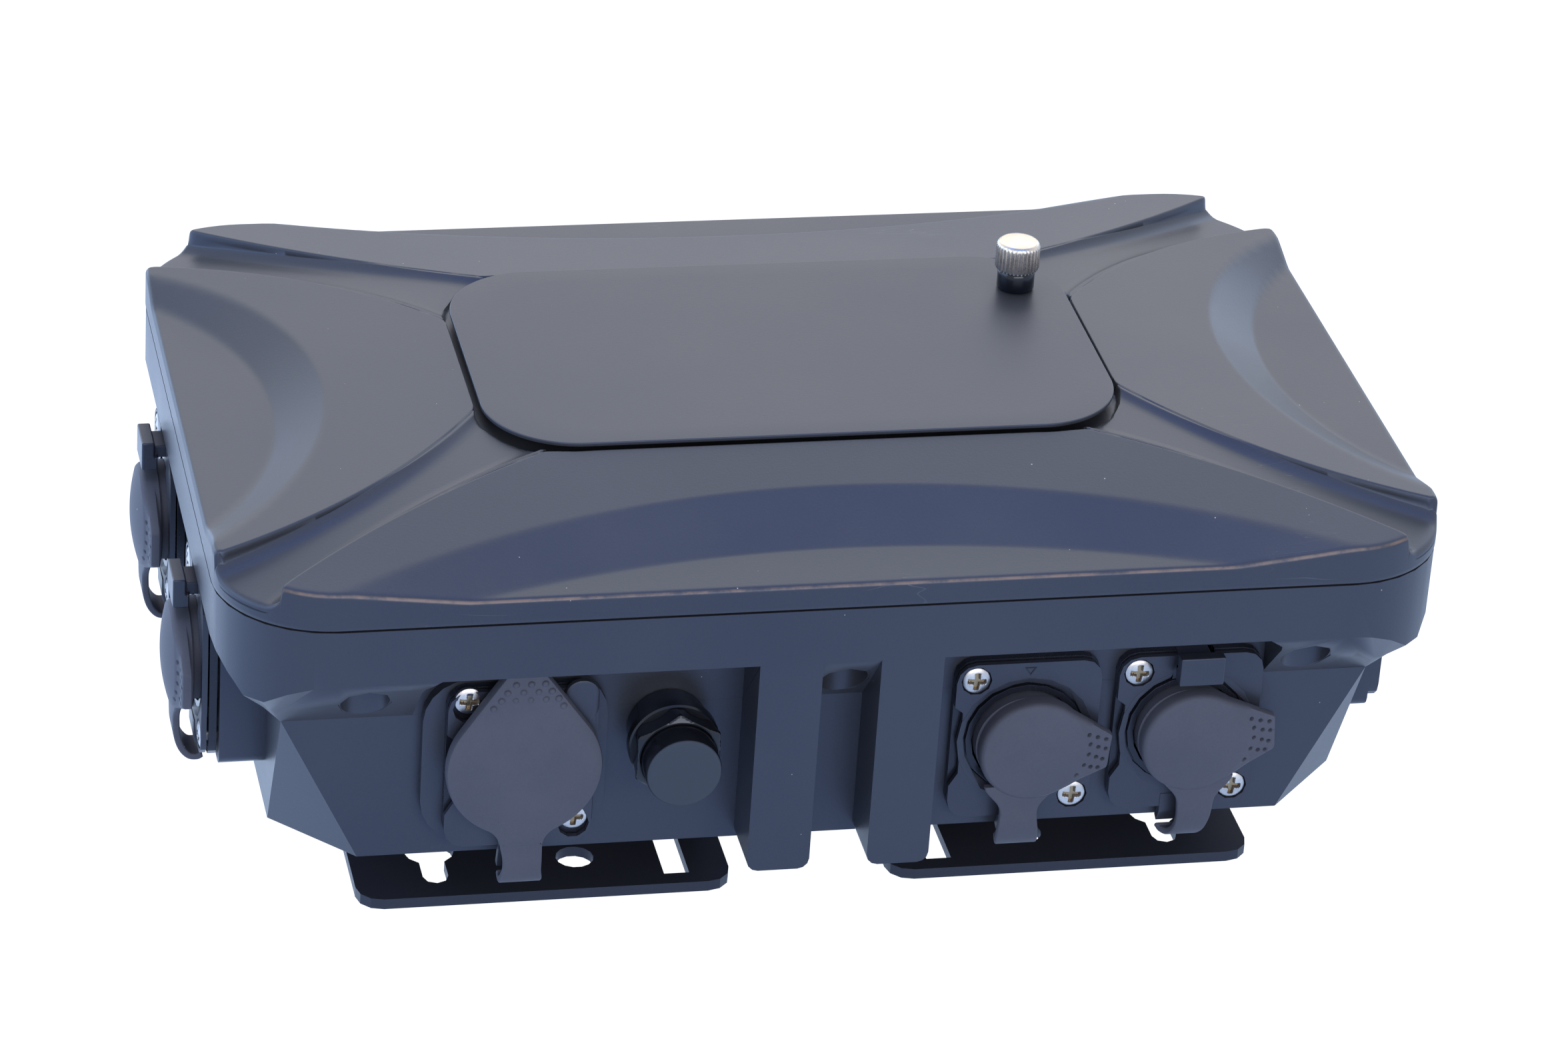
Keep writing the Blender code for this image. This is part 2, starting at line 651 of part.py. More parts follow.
def channel_shape():
    # Flat floors that fall from the deck's corners to the rim's corners, between the petals
    inner = [Vector(point) for point in CHANNEL_INNER]
    outer = [Vector(point) for point in CHANNEL_OUTER]
    longer = 1.25
    low_z = DECK_Z - (DECK_Z - CHANNEL_EDGE) * longer
    ends = [start + (end - start) * longer for start, end in zip(inner, outer)]
    floor = [(*inner[0], DECK_Z), (*ends[0], low_z), (*ends[1], low_z), (*inner[1], DECK_Z)]
    shape = bmesh.new()
    for side_x in (-1, 1):
        for side_y in (-1, 1):
            low = [(side_x * x, side_y * y, z) for x, y, z in floor]
            add_loft(shape, [low, [(x, y, DECK_Z + BEYOND) for x, y, z in low]])
    return shape


def scoop_shape(edge, petal_z, low_arc, high_arc):
    # A hollow between two arcs: the lower arc bounds a floor at the lid's edge, the upper one
    # lies on the petal. Each arc is (half chord at the edge, distance of its middle from the axis).
    past_edge = 3 * MM
    longer = 1.4
    steps = 12

    def on_arc(arc_size, part):
        half, middle = arc_size
        rise = edge - middle
        radius = (half ** 2 + rise ** 2) / (2 * rise)
        deep = rise + past_edge
        along = math.sqrt(2 * radius * deep - deep ** 2) * part
        return along, middle + radius - math.sqrt(radius ** 2 - along ** 2)

    low_ring = []
    high_ring = []
    fall = (SCOOP_EDGE - SCOOP_FLOOR) / (edge - low_arc[1])
    for step in range(steps + 1):
        part = 2 * step / steps - 1
        along, out = on_arc(low_arc, part)
        low = Vector((along, out, SCOOP_FLOOR + (out - low_arc[1]) * fall))
        along, out = on_arc(high_arc, part)
        high = Vector((along, out, petal_z(out)))
        low_ring.append(low)
        high_ring.append(low + (high - low) * longer)
    for ring in (low_ring, high_ring):
        ring.append(Vector((ring[-1].x, edge + BEYOND, ring[-1].z)))
        ring.append(Vector((ring[0].x, edge + BEYOND, ring[0].z)))
    return low_ring, high_ring


def scoops_shape():
    shape = bmesh.new()
    front = scoop_shape(RIM_Y, front_petal_z, *SCOOP_FRONT)
    side = scoop_shape(RIM_X, side_petal_z, *SCOOP_SIDE)
    for sign in (-1, 1):
        add_loft(shape, [[(p.x, sign * p.y, p.z) for p in ring] for ring in front])
        add_loft(shape, [[(sign * p.y, p.x, p.z) for p in ring] for ring in side])
    return shape


def lid_underside_shape():
    # A wide shallow hollow, with a deeper one above the selector board
    wide = rounded_outline(HOLLOW_X, HOLLOW_Y, HOLLOW_RADIUS, INNER_BEND_STEPS)
    deep = rounded_outline(SELECTOR_X - SEAT, SELECTOR_Y + WALL, HOLLOW_RADIUS, INNER_BEND_STEPS)
    levels = ((wide, LID_Z - WALL), (wide, HOLLOW_Z), (deep, HOLLOW_Z), (deep, DECK_Z - WALL))
    shape = bmesh.new()
    add_loft(shape, [[(x, y, z) for x, y in outline] for outline, z in levels])
    return shape


def window_shape():
    return prism_shape(rounded_outline(WINDOW_X, WINDOW_Y, WALL), DECK_Z - 2 * WALL, DECK_Z + WALL)


def lip_shape():
    # A rib under the lid that drops into the box and keeps the lid in place
    rings = []
    low, high = LID_Z - LIP_DEPTH, LID_Z + WALL / 3
    gap = 2 * SEAT
    for offset, z in ((gap, low), (gap, high), (gap + LIP, high), (gap + LIP, low)):
        half_x, half_y = WALL_X - WALL - offset, WALL_Y - WALL - offset
        outline = rounded_outline(half_x, half_y, CAVITY_RADIUS - offset, INNER_BEND_STEPS)
        rings.append([(x, y, z) for x, y in outline])
    shape = bmesh.new()
    add_loft(shape, rings, closed=True)
    return shape


def lid_boss_shape():
    # Pillars that carry the selector board under the deck
    shape = bmesh.new()
    reach_x, reach_y = SELECTOR_X - SELECTOR_INSET, SELECTOR_Y - SELECTOR_INSET
    for x in (-reach_x, reach_x):
        for y in (-reach_y, reach_y):
            pillar = circle(PILLAR / 2, HIDDEN_STEPS, (x, y))
            add_prism(shape, pillar, SELECTOR_Z + BOARD + SEAT, DECK_Z - WALL / 2)
    return shape


def lid_hole_shape():
    shape = bmesh.new()
    for centre in lid_screws():
        add_prism(shape, circle(SCREW_HOLE / 2, HIDDEN_STEPS, centre), LID_Z - WALL, LID_Z + WALL)
    thread = circle(SCREW_HOLE / 2, SMALL_STEPS, (THUMB_X, THUMB_Y))
    add_prism(shape, thread, DECK_Z - 2 * WALL, DECK_Z + WALL)
    return shape


def make_lid(root):
    blank = prism_shape(rounded_outline(RIM_X, RIM_Y, RIM_RADIUS, 7), LID_Z, DECK_Z)
    lid = piece("housing_lid", blank, "paint", root)
    sides = slope_shape(side_petal_z, DECK_X, RIM_X, RIM_Y, ALONG_Y)
    fronts = slope_shape(front_petal_z, DECK_Y, RIM_Y, RIM_X, ALONG_X)
    cut(lid, tool("side_slopes", sides, root))
    cut(lid, tool("front_slopes", fronts, root))
    cut(lid, tool("channels", channel_shape(), root))
    cut(lid, tool("scoops", scoops_shape(), root))
    cut(lid, tool("lid_underside", lid_underside_shape(), root))
    cut(lid, tool("window", window_shape(), root))
    join(lid, tool("lid_lip", lip_shape(), root))
    join(lid, tool("lid_pillars", lid_boss_shape(), root))
    cut(lid, tool("lid_holes", lid_hole_shape(), root))


def make_cover(root):
    # The plate swings about the thumbscrew, so its origin is on that axis
    place = (THUMB_X, THUMB_Y, COVER_LOW)
    outline = rounded_outline(COVER_X, COVER_Y, COVER_RADIUS, 7, (-THUMB_X, -THUMB_Y))
    plate = piece("cover_plate", prism_shape(outline, 0, COVER_HIGH - COVER_LOW), "paint", root, place)
    hole = prism_shape(circle(SCREW_HOLE / 2, SMALL_STEPS), -WALL, WALL)
    cut(plate, tool("cover_hole", hole, root, place))


def make_thumbscrew(root):
    shank, face, head = SCREW / 2, THUMB_FACE / 2, THUMB_HEAD / 2
    low = COLLAR_TOP + SEAT
    bevel = 0.5 * MM
    levels = ((shank, DECK_Z - WALL * 1.5), (shank, low), (face, low), (head, low + bevel))
    levels += ((head, THUMB_TOP - bevel), (face, THUMB_TOP))
    rings = []
    for radius, z in levels:
        ring = []
        for index, (x, y) in enumerate(circle(1.0, THUMB_RIDGES)):
            reach = radius - THUMB_KNURL * (index % 2) if radius == head else radius
            ring.append((x * reach, y * reach, z))
        rings.append(ring)
    shape = bmesh.new()
    add_loft(shape, rings)
    piece("thumbscrew", shape, "nickel", root, (THUMB_X, THUMB_Y, 0))
    half, bore = COLLAR / 2, SCREW_HOLE / 2
    low = COVER_HIGH + SEAT
    profile = [(bore, low), (half, low), (half, COLLAR_TOP), (bore, COLLAR_TOP)]
    collar = turned_shape(profile, ROUND_STEPS, closed=True)
    piece("thumbscrew_collar", collar, "seal", root, (THUMB_X, THUMB_Y, 0))


def add_fixing(name, anchor, place):
    # A small screw with a cross recess. Origin at the seat of the head, with the head on +Z
    half, high = FIXING_HEAD / 2, FIXING_HEAD_HIGH
    shank = FIXING / 2
    profile = [(shank, -FIXING_LONG), (shank, 0), (half, 0), (half * 0.8, high)]
    screw = piece(name, turned_shape(profile, HIDDEN_STEPS), "steel", anchor, place)
    wide, narrow = half * 0.6, half * 0.15
    corners = []
    for turn in range(4):
        spin = Matrix.Rotation(turn * math.pi / 2, 2)
        arm = ((narrow, -narrow), (wide, -narrow), (wide, narrow))
        corners += [tuple(spin @ Vector(point)) for point in arm]
    cut(screw, tool(name + "_cross", prism_shape(corners, high * 0.35, high + WALL), anchor, place))


def make_lid_screws(root):
    for number, (x, y) in enumerate(lid_screws()):
        add_screw("lid_screw_%d" % (number + 1), root, (x, y, LID_SCREW_SEAT - SEAT), LID_SCREW_LONG)


# Boards


def board_shape(board, low):
    left, right, front, back = board
    centre = ((left + right) / 2, (front + back) / 2)
    outline = rounded_outline((right - left) / 2, (back - front) / 2, BOARD, 2, centre)
    return prism_shape(outline, low, low + BOARD)


def parts_shape(parts, board, low):
    # Components that stand in the surface of a board, with their sizes in millimetres
    left, right, front, back = board
    shape = bmesh.new()
    for part in parts:
        x, y, wide, deep, high = (size * MM for size in part)
        x += (left + right) / 2
        y += (front + back) / 2
        sides = (x - wide / 2, x + wide / 2), (y - deep / 2, y + deep / 2)
        add_block(shape, *sides, (low + BOARD / 2, low + BOARD + high))
    return shape


def make_board(name, board, low, parts, root):
    item = piece(name + "_board", board_shape(board, low), "board", root)
    join(item, tool(name + "_parts", parts_shape(parts, board, low), root))


def make_boards(root):
    rows, columns = range(CHIP_ROWS), range(CHIP_COLUMNS)
    chips = [(18 * column - 28, 23 - 22 * row, *CHIP) for column in columns for row in rows]
    make_board("main", MAIN_BOARD, BOARD_Z, chips + list(MAIN_PARTS), root)
    make_board("power", POWER_BOARD, BOARD_Z, POWER_PARTS, root)
    switches = [(13 * number - 20, 2, *SWITCH) for number in range(SWITCHES)]
    make_board("selector", (-SELECTOR_X, SELECTOR_X, -SELECTOR_Y, SELECTOR_Y), SELECTOR_Z, switches, root)


# Mounting plates


def keyhole_outline(side_x, side_y):
    half = KEYHOLE_SLOT / 2
    head = KEYHOLE_HEAD / 2
    meet = math.degrees(math.asin(half / head))
    points = arc((0, 0), head, meet + 90, 450 - meet, 11)
    points += arc((0, KEYHOLE_TIP - KEYHOLE_Y - half), half, 0, 180, 4)
    return [(side_x * (KEYHOLE_X + x), side_y * (KEYHOLE_Y + y)) for x, y in points]


def bracket_hole_shape(side):
    shape = bmesh.new()
    low, high = -PLATE, 2 * PLATE
    half = SLOT_WIDTH / 2
    for side_y in (-1, 1):
        add_prism(shape, keyhole_outline(side, side_y), low, high)
        round_hole = circle(ROUND_HOLE / 2, 14, (side * ROUND_HOLE_X, side_y * ROUND_HOLE_Y))
        add_prism(shape, round_hole, low, high)
        slot_y = sorted(side_y * y for y in SLOT_Y)
        add_block(shape, (side * SLOT_X - half, side * SLOT_X + half), slot_y, (low, high))
    for x in BRACKET_SCREW_X:
        screw_hole = circle(SCREW_HOLE / 2, HIDDEN_STEPS, (side * x, 0))
        add_prism(shape, screw_hole, FLOOR_Z - 3 * PLATE, FLOOR_Z + PLATE)
    return shape


def make_brackets(root):
    # Each plate is a strip bent like a hat, cut to a rounded plan
    low = PLATE / 2
    high = FLOOR_Z - SEAT - PLATE / 2
    line = [(-PLATE_FRONT, low), (-WEB_Y, low), (-WEB_Y, high)]
    line += [(-y, z) for y, z in reversed(line)]
    hat = bent_strip(line, PLATE, BEND)
    half = (PLATE_OUT - PLATE_IN) / 2
    for name, side in (("left", -1), ("right", 1)):
        middle = side * (PLATE_IN + PLATE_OUT) / 2
        strip = prism_shape(hat, middle - half, middle + half, ALONG_X)
        bracket = piece("bracket_" + name, strip, "plate_paint", root)
        outline = rounded_outline(half, PLATE_FRONT, PLATE_RADIUS, BEND_STEPS, (middle, 0))
        plan = prism_shape(outline, -PLATE, FLOOR_Z + PLATE)
        combine(bracket, tool(name + "_plate_plan", plan, root), "INTERSECT")
        cut(bracket, tool(name + "_plate_holes", bracket_hole_shape(side), root))
    seat_z = FLOOR_Z - PLATE - 2 * SEAT
    for number, (x, y) in enumerate(bracket_screws()):
        add_screw("bracket_screw_%d" % (number + 1), root, (x, y, seat_z), BRACKET_SCREW_LONG)


# Sockets, in their own frame


def frame_outline():
    # The rubber frame is drawn in at its waist, and its foot is narrower on the right
    half_x, half_y, radius = FLANGE_X / 2, FLANGE_Y / 2, FLANGE_RADIUS
    waist = half_x - 1.5 * MM
    foot_right = half_x - 0.4 * MM
    points = arc((half_x - radius, FRAME_TOP - radius), radius, 0, 90, BEND_STEPS)
    points += arc((radius - half_x, FRAME_TOP - radius), radius, 90, 180, BEND_STEPS)
    points += [(-half_x, 6.9 * MM), (-waist, 5.7 * MM), (-waist, -6.5 * MM), (-half_x, -9.0 * MM)]
    points += arc((radius - half_x, radius - half_y), radius, 180, 270, BEND_STEPS)
    points += arc((foot_right - radius, radius - half_y), radius, 270, 360, BEND_STEPS)
    points += [(foot_right, -7.0 * MM), (half_x, -5.9 * MM)]
    return points


def fixing_places():
    return ((-FIXING_X, FIXING_Y), (FIXING_X, -FIXING_Y))


def slot_shape(near_y, far_y, low, high):
    # Room for the stem of a push latch
    return block_shape((STEM_X[0] - SLIDE, STEM_X[1] + SLIDE), (near_y, far_y), (low, high))


def wall_opening_shape():
    shape = bmesh.new()
    add_prism(shape, circle(BORE / 2), -OPENING_DEPTH, WALL)
    for centre in fixing_places():
        add_prism(shape, circle(FIXING / 2 + SEAT, BORE_STEPS, centre), -FIXING_LONG, WALL)
    return shape


def make_flange(name, anchor, finish, through):
    # Shell of a socket: a flange on the wall, a barrel behind it and a neck in front
    outer, neck = BARREL / 2, NECK / 2
    step = SEAT + FLANGE / 2
    plate = prism_shape(rounded_outline(FLANGE_X / 2, FLANGE_Y / 2, FLANGE_RADIUS), SEAT, SEAT + FLANGE)
    shell = piece(name, plate, finish, anchor)
    barrel = [(outer, -BARREL_DEPTH), (outer, step), (neck, step), (neck, NECK_HIGH)]
    join(shell, tool(name + "_barrel", turned_shape(barrel), anchor))
    holes = bmesh.new()
    bottom = -BARREL_DEPTH - WALL if through else WALL - BARREL_DEPTH
    add_prism(holes, circle(SOCKET / 2), bottom, FLANGE_Y)
    for centre in fixing_places():
        add_prism(holes, circle(FIXING / 2 + SEAT, BORE_STEPS, centre), -WALL, WALL)
    cut(shell, tool(name + "_holes", holes, anchor))
    return shell


def contact_places():
    reach = Vector((CONTACT_RING / 2, 0))
    return [Matrix.Rotation(math.radians(angle), 2) @ reach for angle in CONTACT_ANGLES]


def make_insert(name, with_pins, anchor):
    # The disc that holds five contacts: pins in the input, holes in the outputs
    radius = SOCKET / 2 - SEAT
    back = SEAT - BARREL_DEPTH
    front = back + WALL if with_pins else -SEAT
    insert = piece(name, prism_shape(circle(radius), back, front), "insert", anchor)
    contacts = bmesh.new()
    if with_pins:
        for centre in contact_places():
            add_prism(contacts, circle(PIN / 2, HIDDEN_STEPS, centre), back + WALL / 2, CONTACT_TIP)
        join(insert, tool(name + "_pins", contacts, anchor))
    else:
        for centre in contact_places():
            add_prism(contacts, circle(PIN_HOLE / 2, BORE_STEPS, centre), -BORE / 2, WALL)
        cut(insert, tool(name + "_contacts", contacts, anchor))


def make_frame(name, anchor, with_latch, with_block, hinge_y):
    # Rubber frame on the flange, with a raised ring about the socket
    frame = piece(name, prism_shape(frame_outline(), FRAME_LOW, FRAME_HIGH), "rubber", anchor)
    ring = prism_shape(circle(FRAME_RING / 2), FRAME_LOW, FRAME_HIGH + FRAME_RING_HIGH)
    join(frame, tool(name + "_ring", ring, anchor))
    join(frame, tool(name + "_tail", tail_shape(hinge_y), anchor))
    if with_block:
        centre = (FIXING_X - 0.6 * MM, FIXING_Y - 1.8 * MM)
        outline = rounded_outline(3.4 * MM, 4.6 * MM, 2.5 * MM, BEND_STEPS, centre)
        block = prism_shape(outline, FRAME_LOW + FRAME / 2, FRAME_HIGH + FRAME_RING_HIGH + SEAT)
        join(frame, tool(name + "_block", block, anchor))
    holes = bmesh.new()
    add_prism(holes, circle(NECK / 2 + SEAT), 0, FLANGE_Y)
    for centre in fixing_places():
        add_prism(holes, circle(FIXING_HEAD / 2 + SEAT, SMALL_STEPS, centre), 0, FLANGE_Y)
    cut(frame, tool(name + "_holes", holes, anchor))
    if with_latch:
        cut(frame, tool(name + "_stem_slot", slot_shape(STEM_Y[0] - SLIDE, FLANGE_Y, 0, FLANGE_Y), anchor))
        room = (LATCH_X[0] - SLIDE, LATCH_X[1] + SLIDE), (LATCH_Y[0] - SLIDE, FLANGE_Y)
        recess = block_shape(*room, (FRAME_HIGH - FRAME / 4, FLANGE_Y))
        cut(frame, tool(name + "_recess", recess, anchor))
    return frame


def strap_shape(run):
    # From a knuckle on the hinge line out and up to the cap, which is a run away
    out = CAP_FACE - CAP_TAB_THICK - HINGE_Z
    points = [(0, 0), (1.0 * MM, 0.7 * out), (0.45 * run, out), (run, out)]
    strip = bent_strip(points, STRAP_THICK, STRAP_THICK, 2)
    return prism_shape(strip, -STRAP / 2, STRAP / 2, ALONG_X)


def tail_shape(hinge_y):
    # The strap's other end, which leaves the frame's foot and stops short of the knuckle
    middle = (FRAME_LOW + FRAME_HIGH) / 2
    foot = -FLANGE_Y / 2
    points = [(foot + 2 * STRAP_THICK, middle), (foot - FRAME, middle), (hinge_y + 1.7 * MM, SEAT + FRAME)]
    strip = bent_strip(points, STRAP_THICK, STRAP_THICK, 2)
    return prism_shape(strip, -STRAP / 2, STRAP / 2, ALONG_X)


def add_strap(cap, name, anchor, hinge, run):
    join(cap, tool(name + "_strap", strap_shape(run), anchor, hinge))
    knuckle = prism_shape(circle(KNUCKLE / 2, SMALL_STEPS), -STRAP / 2, STRAP / 2, ALONG_X)
    join(cap, tool(name + "_knuckle", knuckle, anchor, hinge))


def make_data_cap(name, anchor):
    # Origin on the hinge line of the strap. The disc is a little to the right of its plug
    hinge = (0, HINGE_Y, HINGE_Z)
    centre = Matrix.Translation((CAP_X, -HINGE_Y, -HINGE_Z))
    radius = CAP / 2
    face = CAP_FACE
    profile = [(0, CAP_LOW), (radius + CAP_EDGE / 3, CAP_LOW), (radius, face - CAP_EDGE)]
    profile += [(radius - CAP_EDGE, face), (radius / 2, face + CAP_DOME), (0, face + CAP_DOME)]
    shape = bmesh.new()
    add_turned(shape, profile, ROUND_STEPS, centre)
    cap = piece(name, shape, "rubber", anchor, hinge)
    plug = prism_shape(circle(CAP_PLUG / 2), CAP_PLUG_LOW, face - CAP_EDGE)
    join(cap, tool(name + "_plug", plug, anchor))
    near, far = CAP_TAB - CAP_EDGE * 2, CAP_TAB
    half, corner = CAP_TAB_WIDTH / 2, CAP_TAB_WIDTH / 2 - CAP_EDGE * 2
    tab = [(0, -radius * 0.97), (near, -half), (far, -corner)]
    tab += [(x, -y) for x, y in reversed(tab)]
    grip = prism_shape(tab, face - CAP_EDGE / 2 - CAP_TAB_THICK, face - CAP_EDGE / 2, centre)
    join(cap, tool(name + "_tab", grip, anchor, hinge))
    add_strap(cap, name, anchor, hinge, -HINGE_Y - STRAP_END)


def make_power_cap(name, anchor):
    # A disc that narrows upwards to a grip tab and downwards to its strap
    hinge = (0, POWER_HINGE_Y, HINGE_Z)
    radius = POWER_CAP / 2
    corner = CAP_EDGE * 2
    half, top = POWER_CAP_TIP / 2, POWER_CAP_TAB
    # The sides of the tab leave the disc where they are tangent to it
    rise = top - POWER_CAP_Y
    angle = math.degrees(math.acos(radius / math.hypot(rise, half)) + math.atan2(half, rise))
    foot = [(-POWER_CAP_FOOT_X, POWER_CAP_FOOT_Y), (POWER_CAP_FOOT_X, POWER_CAP_FOOT_Y)]
    outline = arc((0, POWER_CAP_Y), radius, 90 + angle, 235, 11) + foot
    outline += arc((0, POWER_CAP_Y), radius, 305, 450 - angle, 11)
    outline += [(half, top - corner), (half - corner, top), (corner - half, top), (-half, top - corner)]
    move = Matrix.Translation((0, -POWER_HINGE_Y, -HINGE_Z))
    disc = prism_shape(outline, FRAME_HIGH + 2 * CAP_EDGE, CAP_FACE - CAP_EDGE, move)
    cap = piece(name, disc, "rubber", anchor, hinge)
    add_strap(cap, name, anchor, hinge, -POWER_HINGE_Y - POWER_STRAP_END)
    plug = prism_shape(circle(CAP_PLUG / 2), CAP_PLUG_LOW, CAP_FACE - 2 * CAP_EDGE)
    join(cap, tool(name + "_plug", plug, anchor))


def make_latch(name, anchor):
    # The push tab is wider than its stem, has a raised lip, and sinks towards the frame
    low, step, high = LATCH_Z
    near, middle, far = LATCH_Y
    side = [(near, low), (middle, low), (middle, step), (far, step), (far, high), (near, high)]
    latch = piece(name, prism_shape(side, *LATCH_X, ALONG_X), "rubber", anchor)
    join(latch, tool(name + "_stem", block_shape(STEM_X, STEM_Y, (STEM_LOW, step)), anchor))


def make_fixings(name, anchor):
    for number, (x, y) in enumerate(fixing_places()):
        add_fixing("%s_screw_%d" % (name, number + 1), anchor, (x, y, FRAME_LOW))


def make_data_socket(name, anchor, base, with_pins=False):
    shell = make_flange(name + "_shell", anchor, "shell", True)
    make_insert(name + "_insert", with_pins, anchor)
    make_frame(name + "_frame", anchor, not with_pins, False, HINGE_Y)
    make_data_cap(name + "_cap", anchor)
    make_fixings(name, anchor)
    cut(base, tool(name + "_opening", wall_opening_shape(), anchor))
    if not with_pins:
        shell_slot = slot_shape(STEM_Y[0] - SLIDE, FLANGE_Y, 0, FLANGE_Y)
        wall_slot = slot_shape(LATCH_SLOT_Y, STEM_Y[1] + SLIDE, -OPENING_DEPTH, WALL)
        cut(shell, tool(name + "_shell_slot", shell_slot, anchor))
        cut(base, tool(name + "_wall_slot", wall_slot, anchor))
        make_latch(name + "_latch", anchor)


def make_power_socket(anchor, base):
    inlet = make_flange("power_inlet", anchor, "insert", False)
    blades = bmesh.new()
    half_x, half_y = BLADE_X / 2, BLADE_Y / 2
    for x, y in BLADES:
        sides = (x - half_x, x + half_x), (y - half_y, y + half_y)
        add_block(blades, *sides, (WALL / 2 - BARREL_DEPTH, CONTACT_TIP))
    join(inlet, tool("power_blades", blades, anchor))
    make_frame("power_frame", anchor, False, True, POWER_HINGE_Y)
    make_power_cap("power_cap", anchor)
    make_fixings("power", anchor)
    cut(base, tool("power_opening", wall_opening_shape(), anchor))


def make_blank(name, anchor, base):
    # A flat plate over a socket place that isn't used, held by two screws that are part of it
    high = SEAT + 2 * MM
    outline = rounded_outline(FLANGE_X / 2, FLANGE_Y / 2, FLANGE_RADIUS)
    blank = piece(name, prism_shape(outline, SEAT, high), "paint", anchor)
    shank, head = FIXING / 2, FIXING_HEAD / 2
    top = high + FIXING_HEAD_HIGH
    seat = high - SEAT
    profile = [(shank, WALL - FIXING_LONG), (shank, seat), (head, seat), (head * 0.8, top)]
    heads = bmesh.new()
    for x, y in fixing_places():
        add_turned(heads, profile, HIDDEN_STEPS, Matrix.Translation((x, y, 0)))
    join(blank, tool(name + "_heads", heads, anchor))
    cut(base, tool(name + "_opening", wall_opening_shape(), anchor))


# Fuse, in its own frame


def make_fuse(anchor, base):
    neck, bore = FUSE_NECK / 2, FUSE_BORE / 2
    shoulder = FUSE_SHOULDER / 2
    front, inside = FUSE_NECK_FACE, -WALL - SEAT
    profile = [(0, FUSE_BACK + WALL), (bore, FUSE_BACK + WALL), (bore, front), (neck, front), (neck, inside)]
    profile += [(shoulder, inside), (shoulder, inside - WALL / 2), (neck, inside - WALL / 2)]
    profile += [(neck, FUSE_BACK), (0, FUSE_BACK)]
    piece("fuse_holder", turned_shape(profile, FUSE_STEPS), "insert", anchor)
    washer_top = SEAT + FUSE_WASHER_THICK
    washer = prism_shape(circle(FUSE_WASHER / 2), SEAT, washer_top)
    nut = piece("fuse_nut", washer, "insert", anchor)
    # A hexagon's corners are this far from its middle, for its width across the flats
    corner = FUSE_NUT / math.sqrt(3)
    hexagon = prism_shape(circle(corner, 6), washer_top - SEAT, washer_top + FUSE_NUT_THICK)
    join(nut, tool("fuse_hexagon", hexagon, anchor))
    cut(nut, tool("fuse_nut_bore", prism_shape(circle(neck + SEAT, FUSE_STEPS), -WALL, 2 * front), anchor))
    half, low, high = CARTRIDGE / 2, CARTRIDGE_LOW, CARTRIDGE_HIGH
    cartridge = turned_shape([(0, low), (half, low), (half, high), (0, high)], SMALL_STEPS)
    piece("fuse_cartridge", cartridge, "glass", anchor)
    cap, face, edge = FUSE_CAP / 2, FUSE_CAP_FACE, FUSE_CAP_EDGE
    spigot, cup = bore - SLIDE, high - CARTRIDGE_HELD
    profile = [(0, face), (cap - edge, face), (cap, face - edge), (cap, front + SEAT), (spigot, front + SEAT)]
    profile += [(spigot, cup), (half + SEAT, cup), (half + SEAT, high + SEAT), (0, high + SEAT)]
    piece("fuse_cap", turned_shape(profile, ROUND_STEPS), "insert", anchor)
    cut(base, tool("fuse_opening", prism_shape(circle(FUSE_HOLE / 2, FUSE_STEPS), -2 * WALL, WALL), anchor))


def socket_anchors(root):
    front = (math.radians(90), 0, 0)
    left = (math.radians(90), 0, math.radians(-90))
    right = (math.radians(90), 0, math.radians(90))
    places = {
        "data_in": ((DATA_IN_X, -WALL_Y, FRONT_SOCKET_Z), front),
        "data_out_front": ((DATA_OUT_X, -WALL_Y, FRONT_SOCKET_Z), front),
        "data_out_left_1": ((-SIDE_FACE_X, -SIDE_SOCKET_Y, SIDE_SOCKET_Z), left),
        "data_out_left_2": ((-SIDE_FACE_X, SIDE_SOCKET_Y, SIDE_SOCKET_Z), left),
        "blank_plate_1": ((SIDE_FACE_X, -SIDE_SOCKET_Y, SIDE_SOCKET_Z), right),
        "blank_plate_2": ((SIDE_FACE_X, SIDE_SOCKET_Y, SIDE_SOCKET_Z), right),
        "power": ((POWER_X, -POWER_FACE_Y, POWER_Z), front),
        "fuse": ((FUSE_X, -WALL_Y, FUSE_Z), front),
    }
    return {name: new_empty(name + "_place", root, *place) for name, place in places.items()}


def centre_on_origin(root):
    # The middle of the bottom of the whole box goes to the origin
    bpy.context.view_layer.update()
    corners = []
    for item in bpy.data.objects:
        if item.type == "MESH" and not item.hide_render:
            corners += [item.matrix_world @ Vector(corner) for corner in item.bound_box]
    low = [min(corner[axis] for corner in corners) for axis in range(3)]
    high = [max(corner[axis] for corner in corners) for axis in range(3)]
    root.location = (-(low[0] + high[0]) / 2, -(low[1] + high[1]) / 2, -low[2])


def main():
    clear_scene()
    root = new_empty("dmx_splitter")
    base = make_base(root)
    make_gasket(root)
    make_lid(root)
    make_cover(root)
    make_thumbscrew(root)
    make_lid_screws(root)
    make_boards(root)
    make_brackets(root)
    anchors = socket_anchors(root)
    make_data_socket("data_in", anchors["data_in"], base, with_pins=True)
    for name in ("data_out_front", "data_out_left_1", "data_out_left_2"):
        make_data_socket(name, anchors[name], base)
    make_power_socket(anchors["power"], base)
    for name in ("blank_plate_1", "blank_plate_2"):
        make_blank(name, anchors[name], base)
    make_fuse(anchors["fuse"], base)
    centre_on_origin(root)


main()
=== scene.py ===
import math

import bmesh
import bpy
import numpy as np
from mathutils import Matrix, Vector


